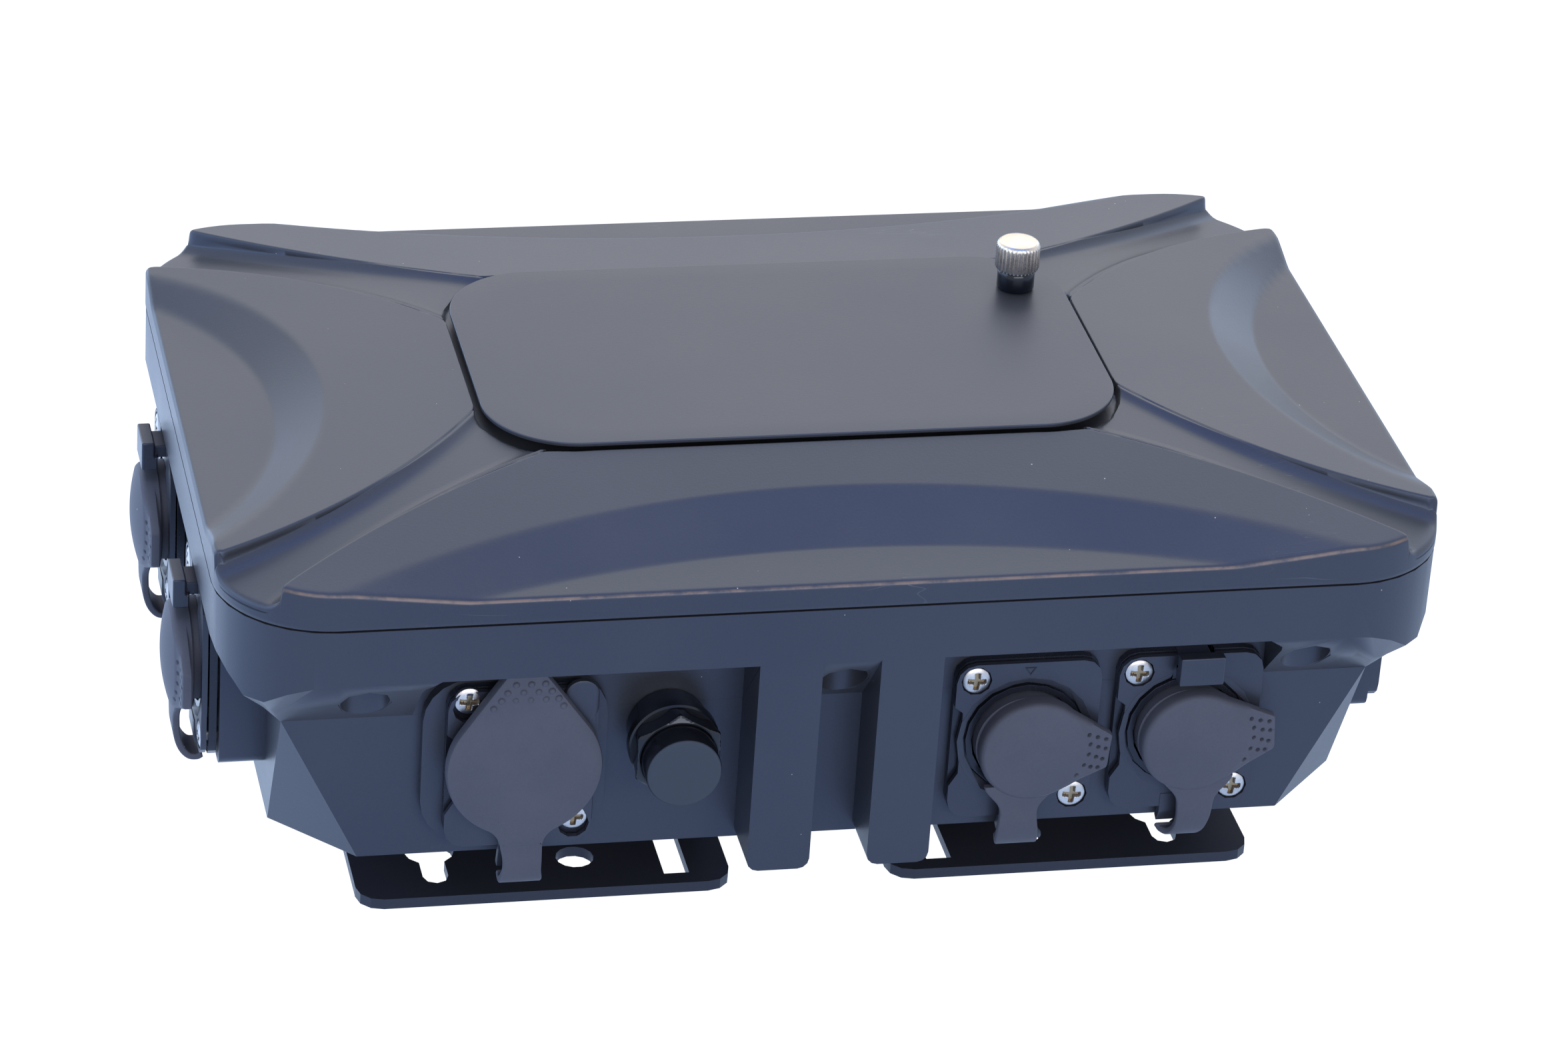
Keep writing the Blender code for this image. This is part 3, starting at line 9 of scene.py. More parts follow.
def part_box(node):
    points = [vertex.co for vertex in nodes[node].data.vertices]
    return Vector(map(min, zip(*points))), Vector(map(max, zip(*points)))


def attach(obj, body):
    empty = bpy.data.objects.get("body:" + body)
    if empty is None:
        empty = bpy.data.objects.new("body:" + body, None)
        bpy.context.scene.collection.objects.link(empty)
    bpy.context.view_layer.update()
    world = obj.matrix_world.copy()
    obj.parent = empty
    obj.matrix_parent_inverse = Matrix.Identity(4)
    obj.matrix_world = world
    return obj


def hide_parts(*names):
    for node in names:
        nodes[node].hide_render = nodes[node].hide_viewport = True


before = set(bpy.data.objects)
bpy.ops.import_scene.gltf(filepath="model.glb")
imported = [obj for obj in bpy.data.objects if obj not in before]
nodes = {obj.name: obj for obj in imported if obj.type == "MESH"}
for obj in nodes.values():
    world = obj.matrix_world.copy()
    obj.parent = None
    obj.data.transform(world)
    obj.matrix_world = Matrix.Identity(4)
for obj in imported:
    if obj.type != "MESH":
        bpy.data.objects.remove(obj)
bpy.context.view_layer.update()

mm = 0.001
scene = bpy.context.scene
dataSockets = ("data_in", "data_out_front", "data_out_left_1", "data_out_left_2")


def nodeBox(node):
    # The low and the high corner of a CAD node, in millimetres
    return (np.array(corner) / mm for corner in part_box(node))


def middleOf(node):
    # The middle of a node's plan, at height 0
    low, high = nodeBox(node)
    return (low + high) / 2 * (1, 1, 0)


middle = middleOf("housing_lid")  # the plans of the housing are measured from here

print("stage: shapes")


# A grid is an array of points in millimetres by row and column. Its columns go all the way round


def gridFaces(rows, columns):
    # Each face joins a point to the next in its row and to the two beside them in the next row
    row, column = np.meshgrid(np.arange(rows - 1), np.arange(columns), indexing="ij")
    here, beside, after = row * columns, (row + 1) * columns, (column + 1) % columns
    return np.stack([here + column, here + after, beside + after, beside + column], -1).reshape(-1, 4)


def newObject(name, mesh, material):
    item = bpy.data.objects.new(name, mesh)
    scene.collection.objects.link(item)
    mesh.materials.append(material)
    return item


def register(item, body, replaced):
    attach(item, body)
    if replaced:
        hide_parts(replaced)


def buildPiece(name, grids, material, body, slot, replaced=None, sharp=38, **masks):
    # Joins grids into one mesh, closes its seams and poles, and turns its faces outwards. A mask has a value for each
    # of the first points, under the name that the material reads, and the other points get 0
    faces, start = [], 0
    for grid in grids:
        faces.append(gridFaces(*grid.shape[:2]) + start)
        start += grid.shape[0] * grid.shape[1]
    points = np.concatenate([grid.reshape(-1, 3) for grid in grids]) * mm
    mesh = bpy.data.meshes.new(name)
    mesh.from_pydata(points.tolist(), [], np.concatenate(faces).tolist())
    for key, mask in masks.items():
        data = np.zeros(len(points), np.float32)
        data[:mask.size] = mask.ravel()
        mesh.attributes.new(key, "FLOAT", "POINT").data.foreach_set("value", data)
    shape = bmesh.new()
    shape.from_mesh(mesh)
    bmesh.ops.remove_doubles(shape, verts=shape.verts, dist=1e-6)
    bmesh.ops.dissolve_degenerate(shape, edges=shape.edges, dist=1e-7)
    bmesh.ops.recalc_face_normals(shape, faces=shape.faces)
    shape.to_mesh(mesh)
    shape.free()
    mesh.shade_smooth()
    mesh.set_sharp_from_angle(angle=math.radians(sharp))
    register(newObject(name, mesh, material), body, replaced)


def softenedCopy(node, material, body, width, steps=2, angle=28, reshape=None):
    # A copy of a CAD node with its flat faces joined and its edges rounded over a width in millimetres. The function
    # reshape moves its points, which it gets and gives back in millimetres
    mesh = nodes[node].data.copy()
    mesh.materials.clear()
    shape = bmesh.new()
    shape.from_mesh(mesh)
    bmesh.ops.remove_doubles(shape, verts=shape.verts, dist=2e-6)
    bmesh.ops.dissolve_limit(shape, angle_limit=math.radians(1.0), verts=shape.verts, edges=shape.edges)
    shape.to_mesh(mesh)
    shape.free()
    if reshape:
        points = np.empty(len(mesh.vertices) * 3)
        mesh.vertices.foreach_get("co", points)
        mesh.vertices.foreach_set("co", (reshape(points.reshape(-1, 3) / mm) * mm).ravel())
    mesh.shade_smooth()
    item = newObject(node + "_soft", mesh, material)
    bevel = item.modifiers.new("rounded edges", "BEVEL")
    bevel.width, bevel.segments = width * mm, steps
    bevel.limit_method, bevel.angle_limit = "ANGLE", math.radians(angle)
    bevel.miter_outer = "MITER_ARC"
    item.modifiers.new("even shading", "WEIGHTED_NORMAL").weight = 60
    register(item, body, node)


def circle(angle):
    # x = cos a, y = sin a
    return np.stack([np.cos(angle), np.sin(angle)], -1)


def evenAngles(count):
    return np.linspace(0, 2 * np.pi, count, endpoint=False)


def atHeight(plan, z):
    # Points over a plan, at one height or at one for each
    return np.column_stack([plan, np.broadcast_to(z, len(plan))])


def ring(rows):
    # Rows that come round to the first one again
    return np.stack([*rows, rows[0]])


def roundedRect(halfX, halfY, radius, perCorner, perSide):
    # On each quarter circle x = cx + r cos a, y = cy + r sin a, and then evenly along the side to the next one
    corners = []
    for turn, signs in enumerate(((1, 1), (-1, 1), (-1, -1), (1, -1))):
        angle = np.radians(90 * turn + np.linspace(0, 90, perCorner))
        corners.append(np.multiply(signs, (halfX - radius, halfY - radius)) + radius * circle(angle))
    share = np.linspace(0, 1, perSide + 2)[1:-1, None]
    parts = []
    for corner, following in zip(corners, corners[1:] + corners[:1]):
        parts += [corner, corner[-1] * (1 - share) + following[0] * share]
    return np.concatenate(parts)


def inwards(outline):
    # The unit normal to the left of the walk, from the neighbours on both sides
    along = np.roll(outline, -1, 0) - np.roll(outline, 1, 0)
    along = along / np.linalg.norm(along, axis=1, keepdims=True)
    return np.stack([-along[:, 1], along[:, 0]], 1)


def slab(outline, levels, centre, dome=0.0, shares=(0.86, 0.71, 0.57, 0.43, 0.29, 0.14, 0.0)):
    # A plate or cap: the outline is drawn in by each level's inset at its height, then both ends shrink to the
    # centre; the upper face rises by dome (1 - s squared), with s its distance from the centre as a share
    normal, centre = inwards(outline), np.array(centre)
    first, last = (outline + normal * inset - centre for inset, z in (levels[0], levels[-1]))
    rows = [atHeight(centre + first * share, levels[0][1]) for share in np.linspace(0, 1, 4)[:-1]]
    rows += [atHeight(outline + normal * inset, z) for inset, z in levels]
    rows += [atHeight(centre + last * share, levels[-1][1] + dome * (1 - share ** 2)) for share in shares]
    return np.stack(rows)


def roundedLevels(foot, low, face, edge):
    # A slab's side: a small chamfer at its foot, and an edge rounded in two steps at its face
    return [(foot, low), (0.0, low + foot), (0.0, face - edge), (edge * 0.3, face - edge * 0.3), (edge, face)]


def aboutAxis(radius, z, angle):
    # x = r cos a, y = r sin a, with a radius and a height that may change with the angle too
    radius, z, angle = np.broadcast_arrays(radius, z, angle)
    return np.stack([radius * np.cos(angle), radius * np.sin(angle), z], -1)


def turned(profile, count):
    # A solid of revolution from a profile of radius and height
    radius, z = np.array(profile, float).T[..., None]
    return aboutAxis(radius, z, evenAngles(count))


def ribbon(path, halfWidth, thickness, middleX, edge=0.35):
    # A strap: a rounded rectangle carried along a path in the plane of y and z, with its half width and the x of its
    # middle given at each point
    along = np.gradient(path, axis=0)
    along /= np.linalg.norm(along, axis=1, keepdims=True)
    across = np.stack([-along[:, 1], along[:, 0]], 1)
    angle = np.radians(np.concatenate([90 * turn + np.linspace(0, 90, 5) for turn in range(4)]))
    sectionX = np.repeat([1, -1, -1, 1], 5) * (halfWidth[:, None] - edge) + edge * np.cos(angle)
    sectionT = np.repeat([1, 1, -1, -1], 5) * (thickness / 2 - edge) + edge * np.sin(angle)
    y, z = (path[:, axis, None] + across[:, axis, None] * sectionT for axis in (0, 1))
    grid = np.stack([sectionX + middleX[:, None], y, z], -1)
    ends = [np.broadcast_to(grid[end].mean(0), grid[:1].shape) for end in (0, -1)]
    return np.concatenate([ends[0], grid, ends[1]])


def smoothCurve(points, count):
    # A curve through points: cubic pieces whose slope at each point is that of the line through its neighbours
    points = np.array(points, float)
    slope = np.gradient(points, axis=0)
    place = np.linspace(0, len(points) - 1, count)
    index = np.minimum(place.astype(int), len(points) - 2)
    t = (place - index)[:, None]
    late = 3 * t ** 2 - 2 * t ** 3
    lean = slope[index] * (t ** 3 - 2 * t ** 2 + t) + slope[index + 1] * (t ** 3 - t ** 2)
    return points[index] * (1 - late) + points[index + 1] * late + lean


def smoothStep(value):
    # 3 v squared - 2 v cubed, from 0 to 1
    value = np.clip(value, 0, 1)
    return value * value * (3 - 2 * value)


def softMin(a, b, width):
    # The lower of the two, with the crease between them rounded over the width
    share = np.clip(0.5 + 0.5 * (b - a) / width, 0, 1)
    return b * (1 - share) + a * share - width * share * (1 - share)


def softMax(a, b, width):
    return -softMin(-a, -b, width)


class Place:
    # A socket's own frame: x to the right, y up and z out of its wall, at an origin in millimetres
    axesOf = {"front": ((1, 0, 0), (0, 0, 1), (0, -1, 0)), "left": ((0, -1, 0), (0, 0, 1), (-1, 0, 0))}

    def __init__(self, node, side, depth):
        low, high = nodeBox(node)
        self.axes = np.array(self.axesOf[side], float)
        out = self.axes[2]
        self.origin = np.where(out != 0, np.where(out > 0, low, high) + depth * out, (low + high) / 2)

    def put(self, grid):
        return grid @ self.axes + self.origin


print("stage: materials")


def feed(tree, node, values):
    # Each input gets a link from a socket, or a value
    for key, value in values.items():
        if isinstance(value, bpy.types.NodeSocket):
            tree.links.new(value, node.inputs[key])
        else:
            node.inputs[key].default_value = value


def addNode(tree, kind, values=None, **settings):
    # Gives back the new node's outputs
    node = tree.nodes.new("ShaderNode" + kind)
    for key, value in settings.items():
        setattr(node, key, value)
    feed(tree, node, values or {})
    return node.outputs


def mathNode(tree, operation, *values):
    return addNode(tree, "Math", dict(enumerate(values)), operation=operation)[0]


def rampValue(tree, value, low, high, toLow=0.0, toHigh=1.0):
    values = {"Value": value, "From Min": low, "From Max": high, "To Min": toLow, "To Max": toHigh}
    return addNode(tree, "MapRange", values, interpolation_type="SMOOTHSTEP")[0]


def mixColour(tree, share, *colours):
    first, second = ((*colour, 1.0) if isinstance(colour, tuple) else colour for colour in colours)
    return addNode(tree, "Mix", {0: share, 6: first, 7: second}, data_type="RGBA")[2]


def objectPoint(tree):
    return addNode(tree, "TexCoord")["Object"]


def maskValue(tree, name):
    return addNode(tree, "Attribute", attribute_name=name)["Fac"]


# Shader groups, each with named inputs and outputs


def newGroup(name, inputs, outputs):
    # Every group reads a vector; an input's kind follows from its value, and all outputs are plain numbers
    group = bpy.data.node_groups.new(name, "ShaderNodeTree")
    for label, value in {"Vector": (0.0, 0.0, 0.0), **inputs}.items():
        kind = "NodeSocketFloat" if isinstance(value, float) else "NodeSocketVector"
        group.interface.new_socket(name=label, in_out="INPUT", socket_type=kind).default_value = value
    for label in outputs:
        group.interface.new_socket(name=label, in_out="OUTPUT", socket_type="NodeSocketFloat")
    return group, group.nodes.new("NodeGroupInput").outputs, group.nodes.new("NodeGroupOutput")


def grainGroup():
    # Sprayed paint or moulded rubber: a fine grain over a slow unevenness
    group, given, result = newGroup("grain", {"Fine Scale": 1800.0, "Slow Scale": 25.0}, ("Height", "Tone"))
    fine, slow = (
        addNode(group, "TexNoise", {"Vector": given[0], "Scale": given[scale], "Detail": detail, "Roughness": rough})[0]
        for scale, detail, rough in (("Fine Scale", 3.0, 0.6), ("Slow Scale", 4.0, 0.55))
    )
    tone = mathNode(group, "ADD", mathNode(group, "MULTIPLY", slow, 0.7), mathNode(group, "MULTIPLY", fine, 0.3))
    feed(group, result, {"Height": fine, "Tone": tone})
    return group


def dustGroup():
    # Sparse specks: the middles of a few cells of a Voronoi pattern, each with its own size
    group, given, result = newGroup("dust", {"Scale": 160.0, "Amount": 0.12, "Size": 0.09}, ("Mask",))
    cells = addNode(group, "TexVoronoi", {"Vector": given["Vector"], "Scale": given["Scale"]}, feature="F1")
    pick = addNode(group, "SeparateColor", {"Color": cells["Color"]})
    chosen = mathNode(group, "LESS_THAN", pick[0], given["Amount"])
    size = mathNode(group, "MULTIPLY", given["Size"], mathNode(group, "ADD", pick[1], 0.3))
    near = mathNode(group, "LESS_THAN", cells["Distance"], size)
    feed(group, result, {"Mask": mathNode(group, "MULTIPLY", chosen, near)})
    return group


def scuffGroup():
    # Thin hair scratches: the crest of a stretched noise, kept where a slow noise is high
    group, given, result = newGroup("scuffs", {"Turn": (0.0, 0.0, 0.4), "Amount": 0.5}, ("Mask",))
    stretch = {"Vector": given["Vector"], "Rotation": given["Turn"], "Scale": (60.0, 900.0, 300.0)}
    line = addNode(group, "TexNoise", {"Vector": addNode(group, "Mapping", stretch)[0], "Scale": 1.0, "Detail": 1.0})
    crest = mathNode(group, "ABSOLUTE", mathNode(group, "SUBTRACT", line[0], 0.5))
    thin = rampValue(group, crest, 0.0, 0.012, 1.0, 0.0)
    patch = addNode(group, "TexNoise", {"Vector": given["Vector"], "Scale": 22.0, "Detail": 2.0})
    kept = rampValue(group, patch[0], 0.62, 0.72)
    mask = mathNode(group, "MULTIPLY", mathNode(group, "MULTIPLY", thin, kept), given["Amount"])
    feed(group, result, {"Mask": mask})
    return group


grain, dust, scuffs = grainGroup(), dustGroup(), scuffGroup()


def newMaterial(name):
    material = bpy.data.materials.new(name)
    material.use_nodes = True
    return material, material.node_tree, material.node_tree.nodes["Principled BSDF"]


def bumpNormal(tree, height, strength, depth):
    return addNode(tree, "Bump", {"Height": height, "Strength": strength, "Distance": depth})[0]


def grainyMaterial(name, look, toneSpan, roughSpread, depth):
    # Two tones mixed by a slow noise, a roughness that varies with it by the spread, and grain as bump
    material, tree, shader = newMaterial(name)
    where = objectPoint(tree)
    scales = {"Vector": where, "Fine Scale": look["fine"], "Slow Scale": look["slow"]}
    noise = addNode(tree, "Group", scales, node_tree=grain)
    colour = mixColour(tree, rampValue(tree, noise["Tone"], *toneSpan), look["dark"], look["light"])
    less, more = roughSpread
    rough = rampValue(tree, noise["Tone"], 0.3, 0.7, look["rough"] - less, look["rough"] + more)
    feed(tree, shader, {"Roughness": rough, "Normal": bumpNormal(tree, noise["Height"], look["bump"], depth)})
    return material, tree, shader, where, colour


def surfaceMaterial(name, look):
    # A coated or moulded surface: hair scratches, wear, dust and a painted shade in the dents lie over its grainy
    # colour
    material, tree, shader, where, colour = grainyMaterial(name, look, (0.36, 0.64), (0.04, 0.04), 0.00006)
    if look.get("scratches"):
        marks = addNode(tree, "Group", {"Vector": where, "Amount": look["scratches"]}, node_tree=scuffs)
        colour = mixColour(tree, marks["Mask"], colour, look["mark"])
    if look.get("wear"):
        broken = addNode(tree, "TexNoise", {"Vector": where, "Scale": 120.0, "Detail": 4.0, "Roughness": 0.7})
        patchy = rampValue(tree, broken[0], 0.35, 0.60, 0.1, 0.8)
        colour = mixColour(tree, mathNode(tree, "MULTIPLY", maskValue(tree, "wear"), patchy), colour, look["wear"])
    if look.get("dust"):
        values = {"Amount": look["dust"], "Scale": look.get("speckScale", 160.0), "Size": look.get("speckSize", 0.06)}
        specks = addNode(tree, "Group", {"Vector": where, **values}, node_tree=dust)
        colour = mixColour(tree, specks["Mask"], colour, look["mark"])
    # Painted shade: the dent mask darkens the colour inside the tab's dents
    if look.get("dent"):
        paintedDentShade = mathNode(tree, "MULTIPLY", maskValue(tree, "dent"), 0.85)
        colour = mixColour(tree, paintedDentShade, colour, look["dent"])
    # Specular Tint: each look's tint, mostly blue, colours every reflection; a painted reflection colour for the blue
    # sky light
    tint = (*look.get("tint", (1.0, 1.0, 1.0)), 1.0)
    feed(tree, shader, {"Base Color": colour, "Specular IOR Level": look.get("gloss", 0.5), "Specular Tint": tint})
    return material


def metalMaterial(name, look):
    # Bright metal: turning or brushing marks as its grain, and a darker brown where the recess mask is, in the screws'
    # cross
    material, tree, shader, where, colour = grainyMaterial(name, look, (0.35, 0.65), (0.05, 0.07), 0.00005)
    if look.get("recess"):
        colour = mixColour(tree, maskValue(tree, "recess"), colour, look["recess"])
    feed(tree, shader, {"Base Color": colour, "Metallic": 1.0})
    return material


# Each look's tint colours its reflections, mostly blue: a painted reflection colour for the blue sky light
housingLook = {
    "dark": (0.033, 0.035, 0.042), "light": (0.040, 0.043, 0.051), "mark": (0.42, 0.44, 0.47),
    "wear": (0.24, 0.17, 0.13), "rough": 0.38, "fine": 2200.0, "slow": 18.0, "bump": 0.3, "dust": 0.06,
    "speckScale": 420.0, "speckSize": 0.045, "gloss": 0.8, "tint": (0.42, 0.58, 1.0),
}
plateLook = {
    "dark": (0.032, 0.035, 0.051), "light": (0.037, 0.041, 0.059), "mark": (0.2, 0.2, 0.2),
    "rough": 0.38, "fine": 1500.0, "slow": 15.0, "bump": 0.25, "dust": 0.03, "tint": (0.5, 0.65, 1.0),
}
# The rubber's dent colour is painted shade, darker in the tab's dents
rubberLook = {
    "dark": (0.079, 0.087, 0.121), "light": (0.095, 0.103, 0.141), "mark": (0.42, 0.44, 0.46),
    "rough": 0.60, "fine": 2600.0, "slow": 60.0, "bump": 0.45, "dust": 0.10, "speckScale": 300.0,
    "tint": (0.6, 0.7, 1.0), "dent": (0.010, 0.012, 0.018),
}
frameLook = {
    "dark": (0.029, 0.033, 0.049), "light": (0.037, 0.042, 0.060), "mark": (0.3, 0.3, 0.3),
    "rough": 0.36, "fine": 2600.0, "slow": 60.0, "bump": 0.25, "dust": 0.04, "gloss": 0.7, "tint": (0.55, 0.68, 1.0),
}
sealLook = {
    "dark": (0.012, 0.012, 0.014), "light": (0.020, 0.020, 0.022),
    "rough": 0.6, "fine": 2600.0, "slow": 60.0, "bump": 0.4,
}
shellLook = {
    "dark": (0.012, 0.014, 0.022), "light": (0.018, 0.020, 0.031), "mark": (0.2, 0.2, 0.2),
    "rough": 0.25, "fine": 2600.0, "slow": 50.0, "bump": 0.12, "dust": 0.03, "tint": (0.6, 0.72, 1.0),
}
insertLook = {
    "dark": (0.006, 0.007, 0.011), "light": (0.010, 0.011, 0.017), "mark": (0.2, 0.2, 0.2),
    "rough": 0.18, "fine": 2000.0, "slow": 50.0, "bump": 0.1, "dust": 0.03, "tint": (0.7, 0.8, 1.0),
}
zincLook = {
    "dark": (0.42, 0.43, 0.47), "light": (0.58, 0.59, 0.63), "recess": (0.30, 0.25, 0.18),
    "rough": 0.34, "fine": 2500.0, "slow": 400.0, "bump": 0.2,
}
nickelLook = {
    "dark": (0.58, 0.54, 0.50), "light": (0.78, 0.74, 0.69),
    "rough": 0.28, "fine": 3000.0, "slow": 300.0, "bump": 0.25,
}
paint = surfaceMaterial("housing paint", housingLook)
wornPaint = surfaceMaterial("lid paint", {**housingLook, "dust": 0.16, "scratches": 0.22})
plainPaint = surfaceMaterial("cover paint", {**housingLook, "wear": None, "dust": 0.01})
platePaint = surfaceMaterial("plate paint", plateLook)
rubber = surfaceMaterial("cap rubber", rubberLook)
frameRubber = surfaceMaterial("frame rubber", frameLook)
sealRubber = surfaceMaterial("seal rubber", sealLook)
shellPlastic = surfaceMaterial("shell plastic", shellLook)
blackPlastic = surfaceMaterial("black plastic", insertLook)
zinc = metalMaterial("zinc plated steel", zincLook)
nickel = metalMaterial("nickel", nickelLook)


def boardMaterial():
    # Circuit board: tracks from a brick pattern over solder mask green, with lighter printing
    material, tree, shader = newMaterial("circuit board")
    where = objectPoint(tree)
    colours = {"Color1": (0.012, 0.07, 0.03, 1), "Color2": (0.016, 0.09, 0.038, 1), "Mortar": (0.05, 0.17, 0.08, 1)}
    tracks = addNode(tree, "TexBrick", {"Vector": where, "Scale": 90.0, "Mortar Size": 0.03, **colours})
    tone = addNode(tree, "Group", {"Vector": where}, node_tree=grain)["Tone"]
    feed(tree, shader, {
        "Base Color": tracks["Color"], "Roughness": rampValue(tree, tone, 0.3, 0.7, 0.3, 0.45),
        "Normal": bumpNormal(tree, tracks["Fac"], 0.3, 0.00005),
    })
    return material


def glassMaterial():
    # Fuse glass: clear and slightly green, with faint streaks in its roughness
    material, tree, shader = newMaterial("fuse glass")
    tone = addNode(tree, "Group", {"Vector": objectPoint(tree), "Fine Scale": 900.0}, node_tree=grain)["Tone"]
    feed(tree, shader, {
        "Base Color": mixColour(tree, tone, (0.75, 0.80, 0.80), (0.86, 0.90, 0.90)),
        "Roughness": rampValue(tree, tone, 0.3, 0.7, 0.03, 0.1), "Transmission Weight": 0.8,
    })
    return material


print("stage: carried over parts")
screwsOf = {"lid_screw_": 6, "bracket_screw_": 4}
carriedOver = (
    (boardMaterial(), ["main_board", "power_board", "selector_board"]),
    (glassMaterial(), ["fuse_cartridge"]),
    (sealRubber, ["lid_gasket"]),
    (zinc, [name + str(number + 1) for name, count in screwsOf.items() for number in range(count)]),
    (blackPlastic, ["fuse_holder"] + [name + "_insert" for name in dataSockets]),
)
for material, names in carriedOver:
    for name in names:
        nodes[name].data.materials.clear()
        nodes[name].data.materials.append(material)

print("stage: housing")
baseSizes = {
    "rimX": 107.4, "rimY": 70.2, "rimZ": 55.3, "wallX": 96.0, "wallY": 58.2, "flareZ": 42.6, "lift": 0.65,
    "cornerRadius": 19.5, "edge": 0.4, "wellX": 82.6, "wellY": 64.0, "wellRadius": 4.15, "wellWall": 0.35,
    "wellTop": 59.9, "flange": 4.75, "flangeUnder": 0.06, "flangeIn": 0.8,
}
plateEdge, bracketEdge = 0.3, 0.35


def flareHeight(x, y, rimZ):
    # The flare's underside rises evenly from the wall to the rim on each side, and at a corner the higher of the two
    # slopes counts, so that the rounded rim reaches lower there
    s = baseSizes
    front = rimZ - (s["rimY"] - np.abs(y)) * (rimZ - s["flareZ"]) / (s["rimY"] - s["wallY"])
    side = rimZ - (s["rimX"] - np.abs(x)) * (rimZ - s["flareZ"]) / (s["rimX"] - s["wallX"])
    return np.maximum(front, side)


def raisedRim(points):
    # The rim band's lower edge a little higher all round; at the corners it follows the flare's own slopes
    s = baseSizes
    x, y, z = (points - middle).T
    straight = s["cornerRadius"] - 0.5
    corner = (np.abs(x) > s["rimX"] - straight) & (np.abs(y) > s["rimY"] - straight)
    raised = np.where(corner, flareHeight(x, y, s["rimZ"] + s["lift"]), s["rimZ"] + s["lift"])
    points[:, 2] = np.where(np.abs(z - s["rimZ"]) < 0.2, raised, z)
    return points


def makeWells():
    # A round lining with a thin flange for each visible screw well, whose wall in the CAD has flat sides. Its rows are
    # a radius and a depth above the flare, or none for the well's top
    s = baseSizes
    inner, outer, under = s["wellRadius"], s["wellRadius"] + s["wellWall"], -s["flangeUnder"]
    rows = (s["flange"], under), (inner, under), (inner, None), (outer, None), (outer, s["flangeIn"])
    grids = []
    for x, y in ((a * s["wellX"], b * s["wellY"]) for a in (-1, 0, 1) for b in (-1, 1)):
        lining = []
        for radius, depth in (*rows, (s["flange"], s["flangeIn"])):
            plan = (x, y) + radius * circle(evenAngles(64))
            surface = flareHeight(*plan.T, s["rimZ"] + s["lift"])
            lining.append(atHeight(plan, s["wellTop"] if depth is None else surface + depth))
        grids.append(ring(lining) + middle)
    buildPiece("screw_wells", grids, paint, "housing", "housing_paint", None, 40)


softenedCopy("housing_base", paint, "housing", baseSizes["edge"], 2, 42, raisedRim)
makeWells()
for number in (1, 2):
    softenedCopy("blank_plate_%d" % number, paint, "housing", plateEdge)
for side in ("left", "right"):
    softenedCopy("bracket_" + side, platePaint, "housing", bracketEdge)

print("stage: lid")
lidSizes = {
    "halfX": 107.4, "halfY": 70.2, "corner": 19.5, "low": 66.6, "lowChamfer": 0.15, "rimRadius": 0.9,
    "petal": 79.25, "rimSide": 73.5, "rimFront": 73.6, "deck": 78.2, "seat": 77.2,
    "seatX": 57.5, "seatY": 33.8, "seatCorner": 16.4, "windowX": 31.0, "windowY": 14.0, "windowCorner": 3.0,
    "channelInner": ((57.9, 17.8), (49.5, 33.8)), "channelOuter": ((107.07, 54.25), (98.35, 67.16)),
    "channelDrop": 8.4, "channelCurve": 1.35, "sideBulge": 4.7, "frontBulge": 2.1, "bulgeReach": 45.0,
    "wallFoot": 0.15, "wallRound": 0.5, "wallSteep": 14.0, "hiddenSteep": 20.0,
    "fillet": 1.3, "filletWide": 2.6, "filletStart": 0.6, "filletUnder": 0.12,
    "innerRoundSide": 2.2, "innerRoundFront": 6.0, "outerRound": 3.0, "crease": 0.4,
    "frontScoop": ((67.0, 59.0), (88.0, 46.5)), "backScoop": ((67.0, 59.0), (84.0, 52.5)),
    "sideScoop": ((42.0, 91.0), (50.0, 82.0)), "scoopFloor": 72.0, "scoopEdge": 71.2,
    "deckThick": 2.0, "hollowTop": 71.5, "hollowAt": 0.78,
}


def petalFall(seatHalf, rimHalf, rim):
    # The height of a petal at a distance from the middle: it falls evenly from the seat to the rim
    s = lidSizes
    return lambda out: s["petal"] - (out - s[seatHalf]) * (s["petal"] - s[rim]) / (s[rimHalf] - s[seatHalf])


sideAt, frontAt = petalFall("seatX", "halfX", "rimSide"), petalFall("seatY", "halfY", "rimFront")


def scoopHeight(along, out, edge, petalAt, lowArc, highArc):
    # Height in a scoop: a floor beyond the lower arc, the petal within the upper one, and between them a slope that
    # is straight from one arc to the other. An arc with half chord h at the edge and its middle m from the axis has
    # the radius (h squared + (edge - m) squared) / (2 (edge - m))
    s = lidSizes

    def arcAt(half, middleOut):
        rise = edge - middleOut
        radius = (half ** 2 + rise ** 2) / (2 * rise)
        return middleOut + radius - np.sqrt(np.maximum(radius ** 2 - along ** 2, 0))

    def floorAt(place):
        return s["scoopFloor"] - (place - lowArc[1]) * (s["scoopFloor"] - s["scoopEdge"]) / (edge - lowArc[1])

    low, high = arcAt(*lowArc), arcAt(*highArc)
    share = (low - out) / np.maximum(low - high, 0.5)
    slope = floorAt(low) + (petalAt(high) - floorAt(low)) * share
    return softMin(petalAt(out), softMax(floorAt(out), slope, 0.10), 0.08)


def pastRounded(x, y, halfX, halfY, corner):
    # Signed distance outside a rounded rectangle, for x and y that aren't negative
    offX, offY = x - (halfX - corner), y - (halfY - corner)
    return np.hypot(np.maximum(offX, 0), np.maximum(offY, 0)) + np.minimum(np.maximum(offX, offY), 0) - corner


